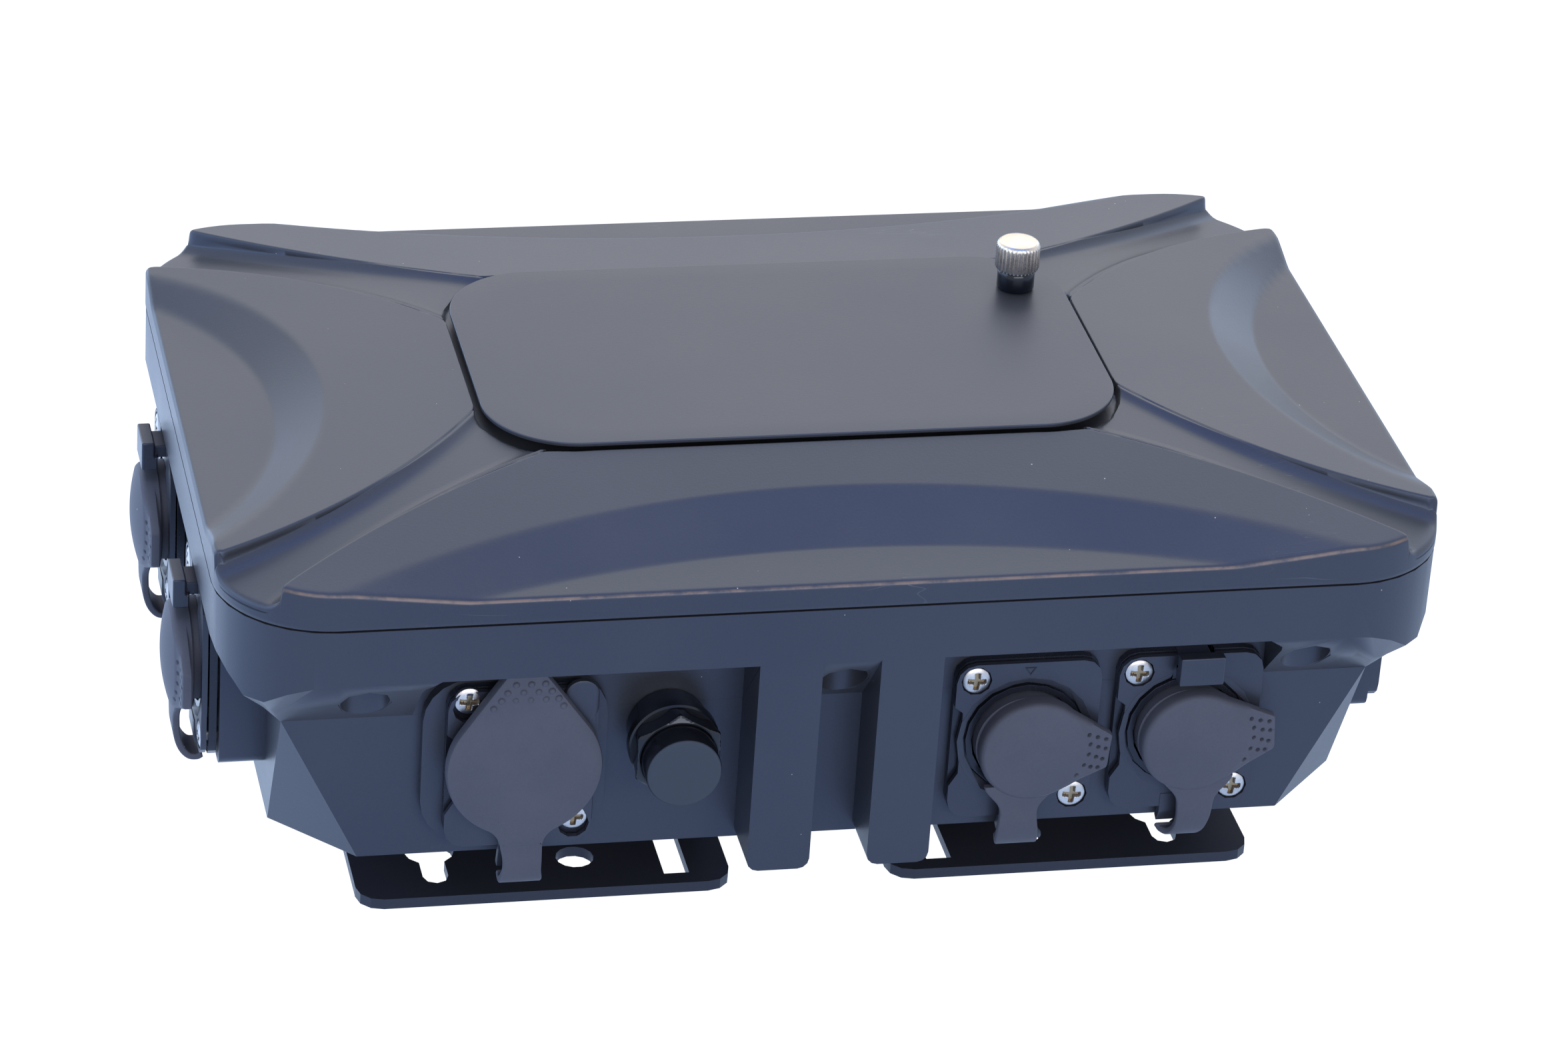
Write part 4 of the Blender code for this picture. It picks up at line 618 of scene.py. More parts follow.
def lidHeight(x, y):
    # Height of the lid's upper side. A petal falls evenly from the seat of the cover plate to the rim. At a distance d
    # inside its foot it is lower by r - sqrt(r squared - (foot + r - d) squared), and nearer than the foot by a steep
    # line. Channels and the seat are the ground between the petals, and scoops are taken out of them
    s = lidSizes
    back = y > 0
    x, y = np.abs(x), np.abs(y)
    inner, outer = np.array(s["channelInner"]), np.array(s["channelOuter"])
    lineSide, lineFront = outer - inner

    def pastWall(start, line, bulge, sign):
        # Distance into the channel from a wall, which bulges by 4 b t (1 - t) at the share t of its way
        offX, offY = x - start[0], y - start[1]
        along = np.clip((offX * line[0] + offY * line[1]) / (line @ line), 0, 1)
        return sign * (line[0] * offY - line[1] * offX) / np.hypot(*line) - bulge * 4 * along * (1 - along)

    fromSide = pastWall(inner[0], lineSide, s["sideBulge"], 1)
    fromFront = pastWall(inner[1], lineFront, s["frontBulge"], -1)
    # Share of the way along the channel: the line across it at that share passes through the point
    share = np.zeros_like(x)
    for step in range(6):
        startX, startY = (inner[0][axis] + lineSide[axis] * share for axis in (0, 1))
        acrossX = inner[1][0] + lineFront[0] * share - startX
        acrossY = inner[1][1] + lineFront[1] * share - startY
        miss = acrossX * (y - startY) - acrossY * (x - startX)
        slope = acrossX * -lineSide[1] + acrossY * lineSide[0]
        share = share - miss / np.where(np.abs(slope) < 1e-6, 1e-6, slope)
    outside = pastRounded(x, y, s["seatX"], s["seatY"], s["seatCorner"])
    inside = -pastRounded(x, y, s["halfX"], s["halfY"], s["corner"])
    floor = s["deck"] - s["channelDrop"] * np.clip(share, 0, 1.3) ** s["channelCurve"]
    channel = softMin(floor, s["seat"] + np.maximum(outside, 0) * 4, 0.5)
    # A hollow fillet climbs to the petals, but not above their upper sides and not inside the seat
    for distance, plane in ((fromSide, sideAt(x)), (fromFront, frontAt(y))):
        climb = s["fillet"] * (1 - np.clip(distance / s["filletWide"], 0, 1)) ** 2
        climb = climb * np.clip(outside / s["filletStart"], 0, 1)
        channel = np.maximum(channel, np.minimum(channel + climb, plane - s["filletUnder"]))
    beyond = np.maximum(-np.minimum(fromSide, fromFront) - 0.3, 0)
    seat = s["seat"] - np.maximum(outside - 0.1, 0) * s["hiddenSteep"]
    ground = np.maximum(channel - beyond * s["hiddenSteep"], seat)

    def petalBody(top, distance, innerRound):
        # The petal's corners are rounded in plan, the inner ones by the seat and the outer ones by the rim
        full = s["wallFoot"] + s["wallRound"]
        distance = softMin(softMin(distance, outside * 3, innerRound), inside + full + 0.3, s["outerRound"])
        depth = np.clip(full - distance, 0, s["wallRound"])
        curve = s["wallRound"] - np.sqrt(np.maximum(s["wallRound"] ** 2 - depth ** 2, 0))
        return top - curve - np.maximum(s["wallFoot"] - distance, 0) * s["wallSteep"]

    side = petalBody(sideAt(x), -fromSide, s["innerRoundSide"])
    front = petalBody(frontAt(y), -fromFront, s["innerRoundFront"])
    frontScoop, backScoop = (scoopHeight(x, y, s["halfY"], frontAt, *s[key]) for key in ("frontScoop", "backScoop"))
    frontScoop = np.where(back, backScoop, frontScoop)
    sideScoop = scoopHeight(y, x, s["halfX"], sideAt, *s["sideScoop"])
    front = np.where((y > 40) & (fromFront < 0), np.minimum(front, frontScoop), front)
    side = np.where((x > 75) & (fromSide < 0), np.minimum(side, sideScoop), side)
    return softMax(ground, np.maximum(side, front), s["crease"])


def lidPlan(inset):
    # Matching points of the rim, of the line that is an inset inside the deck's edge, and of the window. The columns
    # are close at the channel's walls, and keep their distance from the walls from one end to the other. A quarter is
    # worked out, from the middle of the side past the channel's walls a and b to the middle of the front
    s = lidSizes
    petalSide = np.array([0.1, 0.2, 0.3, 0.45, 0.6, 0.8, 1.0, 1.2, 1.4, 1.7, 2.2, 3.0, 4.2])
    channelSide = np.array([0.1, 0.2, 0.35, 0.5, 0.7, 1.0, 1.6, 2.4, 3.6])
    p, c = petalSide[-1], channelSide[-1]
    inner, outer = np.array(s["channelInner"]), np.array(s["channelOuter"])
    r, cx, cy = s["corner"], s["halfX"] - s["corner"], s["halfY"] - s["corner"]
    a, b = cy + r * math.asin((outer[0][1] - cy) / r), cy + r * math.acos((outer[1][0] - cx) / r)
    end = cy + r * math.pi / 2 + cx
    place = np.concatenate([
        np.linspace(0, a - p, 30)[:-1], a - petalSide[::-1], [a], a + channelSide, np.linspace(a + c, b - c, 8)[1:-1],
        b - channelSide[::-1], [b], b + petalSide, np.linspace(b + p, end, 48)[1:],
    ])
    angle = np.clip((place - cy) / r, 0, math.pi / 2)
    rimX = cx + r * np.cos(angle) - np.maximum(place - cy - r * math.pi / 2, 0)
    rimY = np.minimum(place, cy) + r * np.sin(angle)
    # How far each column bends with the bulging walls in the middle of its way
    bends = []
    for start, stop, bulge in ((inner[0], outer[0], s["sideBulge"]), (inner[1], outer[1], -s["frontBulge"])):
        line = (stop - start) / np.hypot(*(stop - start))
        bends.append(np.array([-line[1], line[0]]) * bulge)
    bendPlace = [a - s["bulgeReach"], a, a + c, b - c, b, b + s["bulgeReach"]]
    bendX, bendY = (
        np.interp(place, bendPlace, [0, bends[0][axis], bends[0][axis], bends[1][axis], bends[1][axis], 0])
        for axis in (0, 1)
    )
    inner = inner - ((inset, 0), (0, inset))
    wide = np.hypot(*(inner[1] - inner[0]))
    across = np.array([0, 0, 0, c, wide - c, wide, wide, wide])[:, None] / wide
    key = inner[0] * (1 - across) + inner[1] * across
    key[:2, 1] = 0, inner[0][1] - p
    key[-2:, 0] = inner[1][0] - p, 0
    deckX, deckY = (np.interp(place, [0, a - p, a, a + c, b - c, b, b + p, end], column) for column in key.T)
    turn = np.clip((place - a) / (b - a), 0, 1) * math.pi / 2
    wr = s["windowCorner"]
    windowY = np.interp(place, [0, a], [0, s["windowY"] - wr]) + wr * np.sin(turn)
    windowX = np.interp(place, [b, end], [s["windowX"] - wr, 0]) + wr * np.cos(turn)
    around = []
    for outline in (np.stack(pair, 1) for pair in ((rimX, rimY), (deckX, deckY), (windowX, windowY), (bendX, bendY))):
        quarters = outline, (outline * (-1, 1))[::-1][1:], (outline * (-1, -1))[1:], (outline * (1, -1))[::-1][1:-1]
        around.append(np.concatenate(quarters))
    return around


def makeLid():
    # Rows from the foot of the outer wall over the rim and up the petals and channels to the seat, down through the
    # window, and back under the deck to the hollow behind the rim
    s = lidSizes
    rim, deck, window, bend = lidPlan(0)
    rows, wear = [], []

    def addRow(plan, z=None, worn=0.0, drop=0.0):
        rows.append(atHeight(plan, lidHeight(*plan.T) - drop if z is None else z))
        wear.append(np.full(len(plan), worn))

    radius = s["rimRadius"]
    across = (deck - rim) / np.linalg.norm(deck - rim, axis=1, keepdims=True)
    outwards = -inwards(rim)
    squareness = np.abs(np.sum(across * outwards, 1))[:, None]
    addRow(rim - outwards * s["lowChamfer"], s["low"])
    for up in (s["lowChamfer"], 0.8, 2.0):
        addRow(rim, s["low"] + up)
    addRow(rim, drop=radius + 0.4)
    # A quarter circle of the rim radius, where the wall turns into the upper side
    for angle in np.radians([0, 15, 30, 45, 60, 75, 90]):
        plan = rim + across * radius * (1 - math.cos(angle)) / squareness
        addRow(plan, worn=1.0 if 0.4 < angle < 0.9 else 0.0, drop=radius * (1 - math.sin(angle)))
    start = radius / squareness / np.linalg.norm(deck - rim, axis=1, keepdims=True)
    for share in np.concatenate([np.linspace(0, 0.95, 118)[1:], np.linspace(0.95, 1, 12)[1:]]):
        inwardShare = start + (1 - start) * share
        addRow(rim + (deck - rim) * inwardShare + bend * 4 * inwardShare * (1 - inwardShare))
    for inset in (0.15, 0.3, 0.5, 0.8, 1.2, 2.0, 3.2, 5.0, 7.0):
        addRow(lidPlan(inset)[1])
    hollow = rim + (deck - rim) * s["hollowAt"]
    under = s["seat"] - s["deckThick"]
    below = (window, s["seat"]), (window, under), (deck * 0.86, under), (deck * 0.9, s["hollowTop"])
    for plan, z in (*below, (hollow, s["hollowTop"]), (hollow, s["low"])):
        addRow(plan, z)
    grid = np.stack(rows) + middle
    # Wear shows on the front edge and fades towards the sides
    front = smoothStep((-(grid[..., 1] - middle[1]) - 66) / 3)
    worn = np.stack(wear) * front
    buildPiece("lid_shell", [ring(grid)], wornPaint, "housing", "housing_paint", "housing_lid", 50, wear=worn)


makeLid()

print("stage: cover plate and thumbscrew")
coverSizes = {"halfX": 56.7, "halfY": 33.1, "corner": 16.0, "low": 79.45, "high": 80.2, "edge": 0.2}


def makeCover():
    # A slab whose upper edge is a quarter circle and whose lower one is a small chamfer
    s = coverSizes
    e, foot = s["edge"], s["edge"] * 0.6
    outline = roundedRect(s["halfX"], s["halfY"], s["corner"], 28, 12) + middle[:2]
    arc = [(e * (1 - math.sin(a)), s["high"] - e * (1 - math.cos(a))) for a in np.radians([90, 70, 50, 30, 10, 0])]
    shell = slab(outline, [(foot, s["low"]), (0, s["low"] + foot)] + arc, middle[:2])
    buildPiece("cover_shell", [shell], plainPaint, "cover", "housing_paint", "cover_plate")


makeCover()

thumbSizes = {
    "radius": 4.05, "face": 3.5, "low": 84.1, "high": 89.5, "ridges": 34, "knurl": 0.24, "shank": 1.5, "shankLow": 73.7,
    "collar": ((1.8, 80.3), (3.2, 80.3), (3.42, 80.6), (3.42, 83.5), (3.15, 83.9), (1.8, 83.9)),
}


def makeThumbscrew():
    # A turned head whose radius is less by its knurl's depth times the ridge: abs(sin(n a / 2)) to the power 0.7
    s = thumbSizes
    r, k, low, high = (s[key] for key in ("radius", "knurl", "low", "high"))
    centre = middleOf("thumbscrew")
    radius, z, depth = np.array([
        (0, s["shankLow"], 0), (s["shank"], s["shankLow"], 0), (s["shank"], low, 0), (s["face"], low, 0),
        (r - 0.25, low + 0.15, 0), (r - 0.05, low + 0.45, k), (r, low + 0.6, k), (r, high - 1.0, k),
        (r - 0.05, high - 0.8, k * 0.9), (r - 0.25, high - 0.35, 0), (r - 0.55, high - 0.08, 0), (r - 0.9, high, 0),
        (r * 0.5, high, 0), (0, high, 0),
    ]).T[..., None]
    angle = evenAngles(s["ridges"] * 8)
    head = aboutAxis(radius - depth * np.abs(np.sin(angle * s["ridges"] / 2)) ** 0.7, z, angle) + centre
    buildPiece("thumbscrew_head", [head], nickel, "thumbscrew", "nickel", "thumbscrew", 60)
    collar = ring(turned(s["collar"], 64)) + centre
    buildPiece("thumb_collar", [collar], blackPlastic, "thumbscrew_collar", "seal", "thumbscrew_collar")


makeThumbscrew()

print("stage: sockets")
shellDepth = 18.0  # from a shell's back to its socket's origin
sockets = {name: Place(name + "_shell", "left" if "left" in name else "front", shellDepth) for name in dataSockets}
sockets["power"] = Place("power_inlet", "front", shellDepth)
screwSizes = {
    "atX": 9.5, "atY": 12.0, "powerLift": 1.4, "head": 2.45, "high": 1.3, "seat": 2.0, "shank": 1.2, "shankLong": 7.0,
    "crossHalf": 0.46, "crossLong": 1.6, "crossDeep": 0.8, "crossSlope": 0.16, "crossTurn": 0.06,
}


def makeScrew(name, place, x, y):
    # Head: a low dome, high (0.35 + 0.65 sqrt(1 - 0.86 t squared)) at the share t of its radius, with a cross let in
    # where the smaller of x and y is under the arm's half width
    s = screwSizes
    angle = evenAngles(72)
    shares = np.concatenate([np.linspace(0, 0.86, 22), [0.92, 0.97, 1.0]])[:, None]
    crossX, crossY = np.abs(aboutAxis(shares * s["head"], 0, angle + s["crossTurn"])[..., :2]).transpose(2, 0, 1)
    inside = np.minimum(s["crossHalf"] - np.minimum(crossX, crossY), s["crossLong"] - np.maximum(crossX, crossY))
    recess = smoothStep(inside / s["crossSlope"] + 0.3)
    dome = s["high"] * (0.35 + 0.65 * np.sqrt(np.maximum(1 - 0.86 * shares ** 2, 0)))
    top = aboutAxis(shares * s["head"], s["seat"] + dome - recess * s["crossDeep"], angle)
    end = s["seat"] - s["shankLong"]
    side = [(s["head"], s["seat"] + 0.05), (s["head"] - 0.1, s["seat"]), (s["shank"], s["seat"]), (s["shank"], end)]
    grid = np.concatenate([top, turned(side + [(0, end)], 72)]) + (x, y, 0)
    buildPiece(name + "_head", [place.put(grid)], zinc, "housing", "screw_steel", name, 50, recess=recess)


capSizes = {
    "radius": 9.7, "centre": (0.9, -0.5, 0), "low": 4.0, "face": 7.2, "foot": 0.25, "edge": 0.7, "plug": 9.1,
    "plugLow": 1.2, "tabReach": 13.9, "tabHalf": 3.7, "tabLow": 4.8, "tabTip": 0.9, "sag": 0.55,
    "strapHalf": 3.3, "strapFlare": 3.2, "strapThick": 1.25, "dent": 0.42, "dentDeep": 0.5,
    "dents": (
        (9.4, 3.5), (11.1, 2.9), (12.7, 2.5), (9.9, 1.6), (11.5, 0.9), (12.9, 0.6), (9.9, -0.4), (11.4, -1.1),
        (12.6, -1.5), (9.3, -2.5), (10.7, -3.1), (12.0, -3.2), (8.2, -4.5),
    ),
    "strap": (
        (-7.5, 6.1), (-10.0, 6.2), (-13.0, 6.2), (-16.0, 6.0), (-18.6, 5.2), (-20.2, 3.9), (-20.5, 2.5), (-20.1, 1.7),
    ),
}
# Of each data cap: dome, turn of the tab, extra reach, and of its strap the shift at the top and the bottom, half the
# width at the bottom, and how far the loop leans to the side on its way back to the wall
capOf = {
    "data_in": (0.8, -0.07, 0.0, -0.9, -0.7, 3.8, -0.2), "data_out_front": (0.8, 0.08, 0.6, 1.9, 2.1, 2.9, 0.6),
    "data_out_left_1": (1.6, 0.0, 0.0, 0.0, 0.0, 3.4, 0.0), "data_out_left_2": (1.6, 0.0, 0.0, 0.0, 0.0, 3.4, 0.0),
}


def hullOutline(radius, tips, angle):
    # Outline round a disc and some tip points: at each angle the furthest that any tangent line or the disc reaches.
    # The reach at angle a is the smallest over all directions d of support(d) / cos(d - a)
    directions = evenAngles(1440)
    support = np.full(len(directions), float(radius))
    for x, y, tipRadius in tips:
        support = np.maximum(support, circle(directions) @ np.array([x, y]) + tipRadius)
    facing = np.cos(directions[None] - angle[:, None])
    reach = np.where(facing > 0.05, support[None] / np.maximum(facing, 0.05), np.inf).min(1)
    return reach[:, None] * circle(angle)


def plugOf(s):
    # The part of a cap that fills its socket
    r, low, high = s["plug"], s["plugLow"], s["low"] + 0.5
    return turned([(0, low), (r - 0.4, low), (r, low + 0.4), (r, high), (0, high)], 64)


def makeDataCap(name, place, rise, turn, longer, topShift, lowShift, lowHalf, lean):
    # A cap with a tab. The disc rises towards its middle, the tab lies a little lower, and each dent in the tab is
    # deep (1 - (d / r) squared) times its depth, with d the distance from its middle
    s = capSizes
    r, tabLow, centre = s["radius"], s["tabLow"], np.array(s["centre"])
    angle = np.radians(np.concatenate([np.arange(-30, 30, 0.5), np.arange(30, 330, 2)]))
    tip, high = s["tabReach"] + longer - s["tabTip"], s["tabHalf"] - s["tabTip"]
    outline = hullOutline(r, [(tip, high, s["tabTip"]), (tip, -high, s["tabTip"])], angle)
    levels = roundedLevels(s["foot"], tabLow, s["face"], s["edge"])
    shares = np.concatenate([np.linspace(1, 0.58, 54)[1:], np.linspace(0.58, 0, 9)[1:]])
    grid = slab(outline, levels, (0, 0), 0, shares)
    distance = np.linalg.norm(grid[..., :2], axis=-1)
    upper = grid[..., 2] >= s["face"] - 1e-6
    dome = rise * np.clip(1 - (distance / r) ** 2, 0, 1)
    sag = smoothStep((distance - r * 0.93) / 2.2) * s["sag"]
    dents = np.array(s["dents"]) + (longer, 0)
    off = np.linalg.norm(grid[..., None, :2] - dents, axis=-1).min(-1)
    dent = np.clip(1 - (off / s["dent"]) ** 2, 0, 1) * upper
    grid[..., 2] += dome * upper - sag * (grid[..., 2] > tabLow + 0.3) - dent * s["dentDeep"]
    grid[..., :2] = grid[..., :2] @ np.array([[math.cos(turn), math.sin(turn)], [-math.sin(turn), math.cos(turn)]])
    wall = [(0, s["low"]), (r - s["foot"], s["low"]), (r, s["low"] + s["foot"]), (r, tabLow + s["foot"])]
    disc = turned(wall + [(r - 1.0, tabLow + 0.5), (0, tabLow + 0.5)], 96)
    path = smoothCurve(s["strap"], 44)
    down = -path[:, 0]
    flare = s["strapFlare"] * (1 - smoothStep((down - 7.5) / 6.0)) ** 1.5
    low = smoothStep((down - 12) / 7)
    shift = topShift + (lowShift - topShift) * low + lean * (path[:, 1] - 6.1)
    strap = ribbon(path, s["strapHalf"] + flare + (lowHalf - s["strapHalf"]) * low, s["strapThick"], shift)
    grids = [place.put(part) for part in (grid + centre, disc + centre, plugOf(s), strap)]
    cap = name + "_cap"
    # The dent mask lowers the dents and also darkens their colour, as painted shade
    buildPiece(cap + "_rubber", grids, rubber, cap, "soft_rubber", cap, 40, dent=dent)


frameSizes = {
    "edge": 0.22, "shellEdge": 0.2, "face": 3.0, "ring": 3.3, "ringOuter": 3.05, "ringInner": 2.15, "ringHalf": 11.6,
    "ringReach": 14.0, "latchEdge": 0.5, "latchShift": (-0.4, 0, 0.65),
    "mark": ((-1.05, 14.3), (1.05, 14.3), (0.0, 12.7)), "markInner": 0.66, "markHigh": 0.12,
}


def dishedFrame(place):
    # The ring about the socket falls from the frame's face at its outer edge to the flange at its inner one
    def reshape(points):
        s = frameSizes
        local = (points - place.origin) @ place.axes.T
        radius = np.hypot(local[:, 0], local[:, 1])
        onRing = (local[:, 2] > s["ring"]) & (radius < s["ringReach"])
        lowered = np.where(radius > s["ringHalf"], s["ringOuter"], s["ringInner"])
        local[:, 2] = np.where(onRing, lowered, local[:, 2])
        return local @ place.axes + place.origin

    return reshape


def makeTriangle(place):
    # The mark above the input: a thin raised outline with its tip down
    s = frameSizes
    corners = np.array(s["mark"])
    inner = corners.mean(0) + (corners - corners.mean(0)) * s["markInner"]
    low, high = s["face"] - 0.1, s["face"] + s["markHigh"]
    rows = [atHeight(plan, z) for plan, z in ((corners, low), (corners, high), (inner, high), (inner, low))]
    buildPiece("data_in_mark", [place.put(ring(rows))], shellPlastic, "housing", "shell", None, 30)


for name, place in sockets.items():
    isPower = name == "power"
    shell, shellSlot = ("power_inlet", "insert") if isPower else (name + "_shell", "shell")
    reshape = None if isPower else dishedFrame(place)
    softenedCopy(shell, shellPlastic, "housing", frameSizes["shellEdge"])
    softenedCopy(name + "_frame", frameRubber, "housing", frameSizes["edge"], reshape=reshape)
    lift = screwSizes["powerLift"] if isPower else 0.0
    for number, sign in ((1, 1), (2, -1)):
        x, y = -sign * screwSizes["atX"], sign * screwSizes["atY"] + lift
        makeScrew("%s_screw_%d" % (name, number), place, x, y)
    if name.startswith("data_out"):
        up = frameSizes["latchShift"] if name == "data_out_front" else (0, 0, 0)
        latch = name + "_latch"
        softenedCopy(
            latch, frameRubber, latch, frameSizes["latchEdge"], 3, reshape=lambda points: points + up
        )
    if not isPower:
        makeDataCap(name, place, *capOf[name])
makeTriangle(sockets["data_in"])

lobeSizes = {
    "at": (9.8, 12.9), "halfX": 3.0, "halfY": 4.2, "corner": 2.9, "low": 3.0, "face": 4.12, "edge": 0.4, "foot": 0.2,
}


def makeLobe(place):
    # The raised lobe at the upper right corner of the inlet's frame, half under the cap's tab
    s = lobeSizes
    outline = roundedRect(s["halfX"], s["halfY"], s["corner"], 12, 6) + s["at"]
    lobe = slab(outline, roundedLevels(s["foot"], s["low"], s["face"], s["edge"]), s["at"])
    buildPiece("power_frame_lobe", [place.put(lobe)], frameRubber, "housing", "soft_rubber", None, 40)


makeLobe(sockets["power"])

powerSizes = {
    "radius": 13.5, "centre": 1.35, "top": 20.5, "tipHalf": 3.8, "tipRadius": 1.5, "low": 4.2, "face": 6.6, "foot": 0.3,
    "dome": 0.5, "edge": 0.7, "plug": 9.1, "plugLow": 1.2, "neckHalf": 3.7, "neckEnd": 15.4, "neckArc": 4.2,
    "strapThick": 1.3, "strapShift": 0.4,
    "strap": (
        (-11.5, 5.5), (-14.0, 5.5), (-16.5, 5.5), (-19.0, 5.4), (-21.0, 4.7), (-22.1, 3.6), (-22.2, 2.4), (-21.8, 1.7),
    ),
    # Rows of grip bumps on the tab: how high the row is, and where its bumps are
    "bumps": (
        (18.4, (-2.2, 0.4, 2.8)), (16.9, (-3.6, -0.9, 1.7, 4.0)), (15.4, (-4.6, -2.2, 0.4, 3.0, 5.2)),
        (13.9, (-5.9, 6.1)),
    ),
    "bump": ((0, -0.3), (0.66, -0.3), (0.64, 0), (0.5, 0.24), (0.28, 0.38), (0, 0.42)),
}


def makePowerCap(place):
    # The same hull as the data caps, with its tab upwards, and a neck that narrows to the strap below: the outline
    # follows two hollow arcs from the disc to the strap's half width
    s = powerSizes
    r, top, tip = s["radius"], s["top"] - s["centre"] - s["tipRadius"], s["tipRadius"]
    angle = np.linspace(-np.pi, np.pi, 260, endpoint=False)
    outline = hullOutline(r, [(s["tipHalf"] - 1.8, top, tip), (1.2 - s["tipHalf"], top, tip)], angle)
    reach = np.linalg.norm(outline, axis=1)
    down = np.abs((angle + np.pi / 2 + np.pi) % (2 * np.pi) - np.pi)
    arcX = s["neckHalf"] + s["neckArc"]
    arcY = -math.sqrt((r + s["neckArc"]) ** 2 - arcX ** 2)
    dx, dy = np.sin(down), -np.cos(down)
    along = dx * arcX + dy * arcY
    inside = along ** 2 - (arcX ** 2 + arcY ** 2 - s["neckArc"] ** 2)
    hollow = np.where(inside > 0, along - np.sqrt(np.maximum(inside, 0)), np.inf)
    neck = np.where(dx > 1e-3, s["neckHalf"] / np.maximum(dx, 1e-3), np.inf)
    neck = np.minimum(neck, s["neckEnd"] / np.maximum(-dy, 1e-3))
    arc = np.where(down < math.atan2(arcX, -arcY), np.minimum(hollow, 40), reach)
    reach = np.where(down < math.atan2(s["neckHalf"], -arcY), neck, arc)
    outline = reach[:, None] * circle(angle) + (0, s["centre"])
    levels = roundedLevels(s["foot"], s["low"], s["face"], s["edge"])
    disc = slab(outline, levels, (0, s["centre"]), s["dome"], np.linspace(1, 0, 14)[1:])
    path = smoothCurve(s["strap"], 40)
    low, last = smoothStep((-path[:, 0] - 13) / 5), smoothStep((-path[:, 0] - 19) / 3)
    strap = ribbon(path, s["neckHalf"] - 0.35 * low + 0.4 * last, s["strapThick"], s["strapShift"] * low)
    bump = turned(s["bump"], 14) + (0, 0, s["face"] + 0.05)
    grids = [disc, plugOf(s), strap] + [bump + (x, y, 0) for y, row in s["bumps"] for x in row]
    grids = [place.put(grid) for grid in grids]
    buildPiece("power_cap_rubber", grids, rubber, "power_cap", "soft_rubber", "power_cap", 40)


makePowerCap(sockets["power"])

print("stage: fuse")
fuseSizes = {
    "depth": 30.0, "base": 7.0, "baseLow": 0.35, "washer": 8.0, "washerLow": 5.4, "washerTop": 7.7, "hexFlat": 7.15,
    "hexTop": 11.8, "neck": 6.05, "bore": 6.8, "boreLow": 9.4, "cap": 6.55, "capLow": 9.7, "capFace": 16.8,
    "edge": 0.35, "stem": 4.0, "stemLow": 3.0, "well": 2.8, "wellTop": 6.3, "faceColour": (0.038, 0.048, 0.070),
    "faceRough": 0.45,
}


def fuseFacePlastic():
    # The cap's side is as glossy as the nut, and its face is matt and lighter
    material = blackPlastic.copy()
    material.name = "fuse cap plastic"
    tree = material.node_tree
    shader = tree.nodes["Principled BSDF"]
    face = maskValue(tree, "wear")
    colour, rough = (shader.inputs[socket].links[0].from_socket for socket in ("Base Color", "Roughness"))
    feed(tree, shader, {
        "Base Color": mixColour(tree, face, colour, fuseSizes["faceColour"]),
        "Roughness": addNode(tree, "Mix", {0: face, 2: rough, 3: fuseSizes["faceRough"]})[0],
    })
    return material


def makeFuse():
    # Washer and hexagon are one turned profile whose radius at angle a is the smaller of the washer's and the flat's
    # distance over cos of the angle from the nearest flat; the cap is turned too
    s = fuseSizes
    place = Place("fuse_holder", "front", s["depth"])
    angle = evenAngles(144)
    flat = s["hexFlat"] / np.cos((angle + np.pi / 6) % (np.pi / 3) - np.pi / 6)
    w, low, top = s["washer"], s["washerLow"], s["washerTop"]
    rows = [(s["neck"], s["baseLow"]), (s["base"], s["baseLow"]), (s["base"], low), (w - 0.2, low), (w, low + 0.2)]
    rows += [(w, top - 0.3), (w - 0.3, top), (np.minimum(flat, w - 0.35), top)]
    for down in (1.2, 0.75, 0.6, 0.45, 0.3, 0.15, 0.0):
        # The turned chamfer: a cone that cuts the hexagon's corners and, in a narrow line, its flats
        rows.append((np.minimum(flat, s["hexFlat"] - 0.1 + down * 1.73), s["hexTop"] - down))
    rows += [(s["bore"], s["hexTop"]), (s["bore"], s["boreLow"]), (s["neck"], s["boreLow"])]
    nut = place.put(ring([aboutAxis(radius, z, angle) for radius, z in rows]))
    buildPiece("fuse_nut_shell", [nut], blackPlastic, "housing", "insert", "fuse_nut", 30)
    c, f, e, low = s["cap"], s["capFace"], s["edge"], s["capLow"]
    profile = [(0, f), (c - e - 1.0, f), (c - e, f - 0.02), (c - e * 0.3, f - e * 0.3), (c, f - e), (c, low + 0.3)]
    profile += [(c - 0.3, low), (s["stem"], low), (s["stem"], s["stemLow"]), (s["well"], s["stemLow"])]
    cap = turned(profile + [(s["well"], s["wellTop"]), (0, s["wellTop"])], 96)
    face = (cap[..., 2] > f - 0.1).astype(float)
    buildPiece("fuse_cap_shell", [place.put(cap)], fuseFacePlastic(), "fuse_cap", "insert", "fuse_cap", 40, wear=face)


makeFuse()

print("stage: camera and light")
view = {
    "place": (-213.424, -908.872, 557.935), "right": (0.97788, -0.19983, 0.06174),
    "down": (-0.04336, -0.48247, -0.87484), "focus": 8843.9, "wide": 2352.0, "shift": -2.7, "sensor": 36.0,
}
cameraData = bpy.data.cameras.new("camera")
cameraData.sensor_width = view["sensor"]
cameraData.lens = view["focus"] / view["wide"] * view["sensor"]
cameraData.shift_y = view["shift"] / view["wide"]
cameraData.clip_start, cameraData.clip_end = 0.05, 50.0
camera = bpy.data.objects.new("camera", cameraData)
scene.collection.objects.link(camera)
right = Vector(view["right"]).normalized()
up = -Vector(view["down"])
up = (up - right * up.dot(right)).normalized()
turn = Matrix((right, up, right.cross(up))).transposed()
camera.matrix_world = Matrix.LocRotScale(Vector(view["place"]) * mm, turn, None)
scene.camera = camera

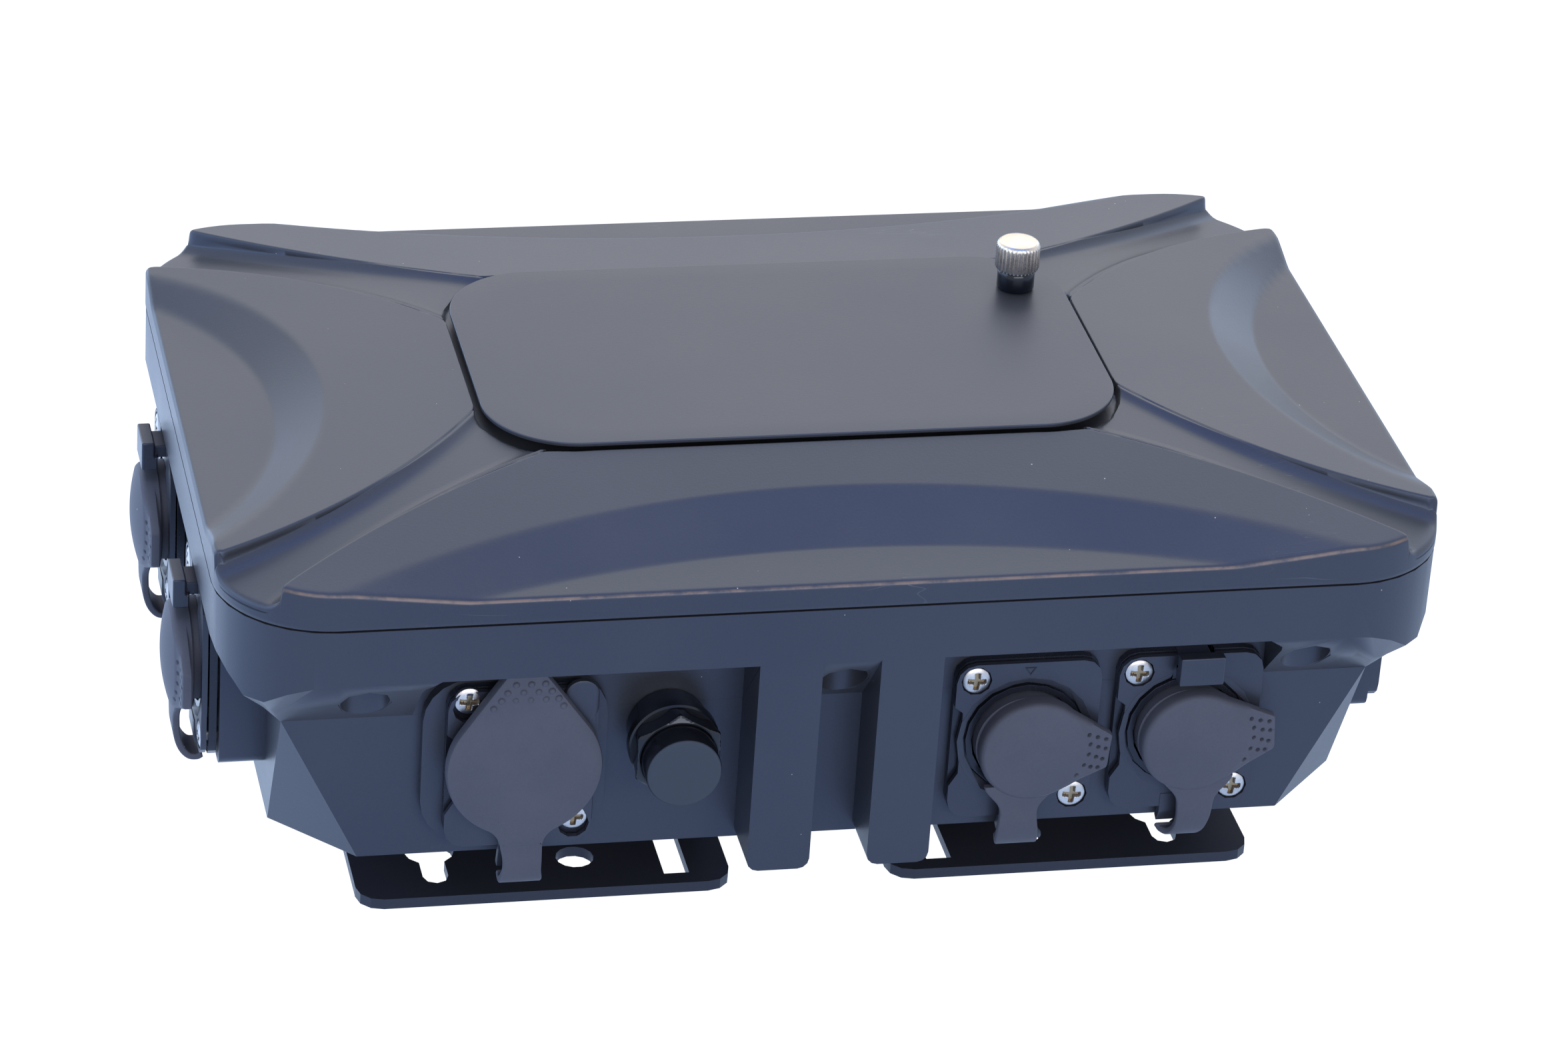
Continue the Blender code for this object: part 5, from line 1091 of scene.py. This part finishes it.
# Of each lamp: its place and its target in metres, its size, its power, its colour, and whether glossy sides mirror it
lamps = {
    "top softbox": ((0.1, 0.3, 1.7), (0, 0, 0.05), (1.8, 1.4), 24.0, (1.0, 0.98, 0.96), False),
    "back softbox": ((0.30, 2.0, 1.25), (0, 0, 0.07), (2.2, 1.4), 8.3, (1.0, 0.86, 0.67), True),
    "left softbox": ((-1.7, 0.1, 0.7), (0, 0, 0.04), (1.4, 1.0), 9.0, (0.50, 0.72, 1.0), True),
    "left glow": ((-0.9, 1.7, 0.25), (0, 0, 0.04), (1.0, 0.5), 5.0, (0.50, 0.72, 1.0), True),
    "right glow": ((1.35, 1.45, 0.60), (0, 0, 0.07), (0.6, 0.5), 2.2, (0.65, 0.83, 1.0), True),
    "front fill": ((0.1, -1.8, 0.80), (0, 0, 0.04), (2.0, 0.6), 16.0, (1.0, 0.92, 0.86), True),
}
for name, (place, target, size, power, colour, mirrored) in lamps.items():
    data = bpy.data.lights.new(name, "AREA")
    data.shape, data.size, data.size_y, data.energy, data.color = "RECTANGLE", *size, power, colour
    lamp = bpy.data.objects.new(name, data)
    scene.collection.objects.link(lamp)
    lamp.location = place
    lamp.rotation_euler = (Vector(target) - Vector(place)).to_track_quat("-Z", "Y").to_euler()
    lamp.visible_glossy = mirrored


def seenShare(tree):
    # One where the camera, a mirroring surface or glass looks, and nothing where light is gathered
    rays = addNode(tree, "LightPath")
    either = mathNode(tree, "MAXIMUM", rays["Is Camera Ray"], rays["Is Glossy Ray"])
    return mathNode(tree, "MAXIMUM", either, rays["Is Transmission Ray"])


def mixShaders(tree, share, first, second, output):
    mixed = addNode(tree, "MixShader", {0: share, 1: first, 2: second})[0]
    feed(tree, tree.nodes[output], {0: mixed})


def makeWorld():
    # Pale near the horizon and blue overhead where it is seen or mirrored, and a soft cool light everywhere else
    world = bpy.data.worlds.new("studio")
    scene.world = world
    world.use_nodes = True
    tree = world.node_tree
    light = tree.nodes["Background"]
    feed(tree, light, {"Color": (0.78, 0.87, 1.0, 1.0), "Strength": 0.32})
    direction = addNode(tree, "SeparateXYZ", {"Vector": addNode(tree, "TexCoord")["Generated"]})
    colour = mixColour(tree, rampValue(tree, direction[2], 0.74, 0.97), (0.98, 0.98, 1.0), (0.25, 0.52, 1.25))
    seen = addNode(tree, "Background", {"Color": colour, "Strength": 1.0})[0]
    mixShaders(tree, seenShare(tree), light.outputs[0], seen, "World Output")


floorSizes = {"half": 6.0, "dark": (0.46, 0.55, 0.70), "light": (0.49, 0.58, 0.73), "ownWhite": 0.85}


def makeFloor():
    # Pale floor: much of its own white to what sees or mirrors it, so that it stays white and keeps a soft shadow
    s = floorSizes
    material, tree, shader = newMaterial("pale floor")
    noise = addNode(tree, "TexNoise", {"Scale": 6.0})[0]
    colour = mixColour(tree, noise, s["dark"], s["light"])
    feed(tree, shader, {"Base Color": colour, "Roughness": 0.9, "Specular IOR Level": 0.0})
    # What a glossy side mirrors is bluer, and brighter at the back on the left than elsewhere
    where = addNode(tree, "SeparateXYZ", {"Vector": objectPoint(tree)})
    mirrored = addNode(tree, "LightPath")["Is Glossy Ray"]
    behind, left = rampValue(tree, where[1], -0.12, 0.05), rampValue(tree, where[0], -0.05, -0.11)
    beside = mathNode(tree, "MULTIPLY", behind, left)
    brighter = mathNode(tree, "ADD", mathNode(tree, "MULTIPLY", beside, 0.85), 1.15)
    strength = addNode(tree, "Mix", {0: mirrored, 2: 1.2, 3: brighter})[0]
    tint = mixColour(tree, mirrored, (0.98, 0.99, 1.0), (0.70, 0.87, 1.15))
    glow = addNode(tree, "Emission", {"Color": tint, "Strength": strength})[0]
    share = mathNode(tree, "MULTIPLY", seenShare(tree), s["ownWhite"])
    mixShaders(tree, share, shader.outputs[0], glow, "Material Output")
    mesh = bpy.data.meshes.new("floor")
    corners = [(x * s["half"], y * s["half"], 0) for x, y in ((-1, -1), (1, -1), (1, 1), (-1, 1))]
    mesh.from_pydata(corners, [], [(0, 1, 2, 3)])
    floor = newObject("floor", mesh, material)


makeWorld()
makeFloor()
bpy.context.scene.view_settings.view_transform = "Standard"

print("stage: done")
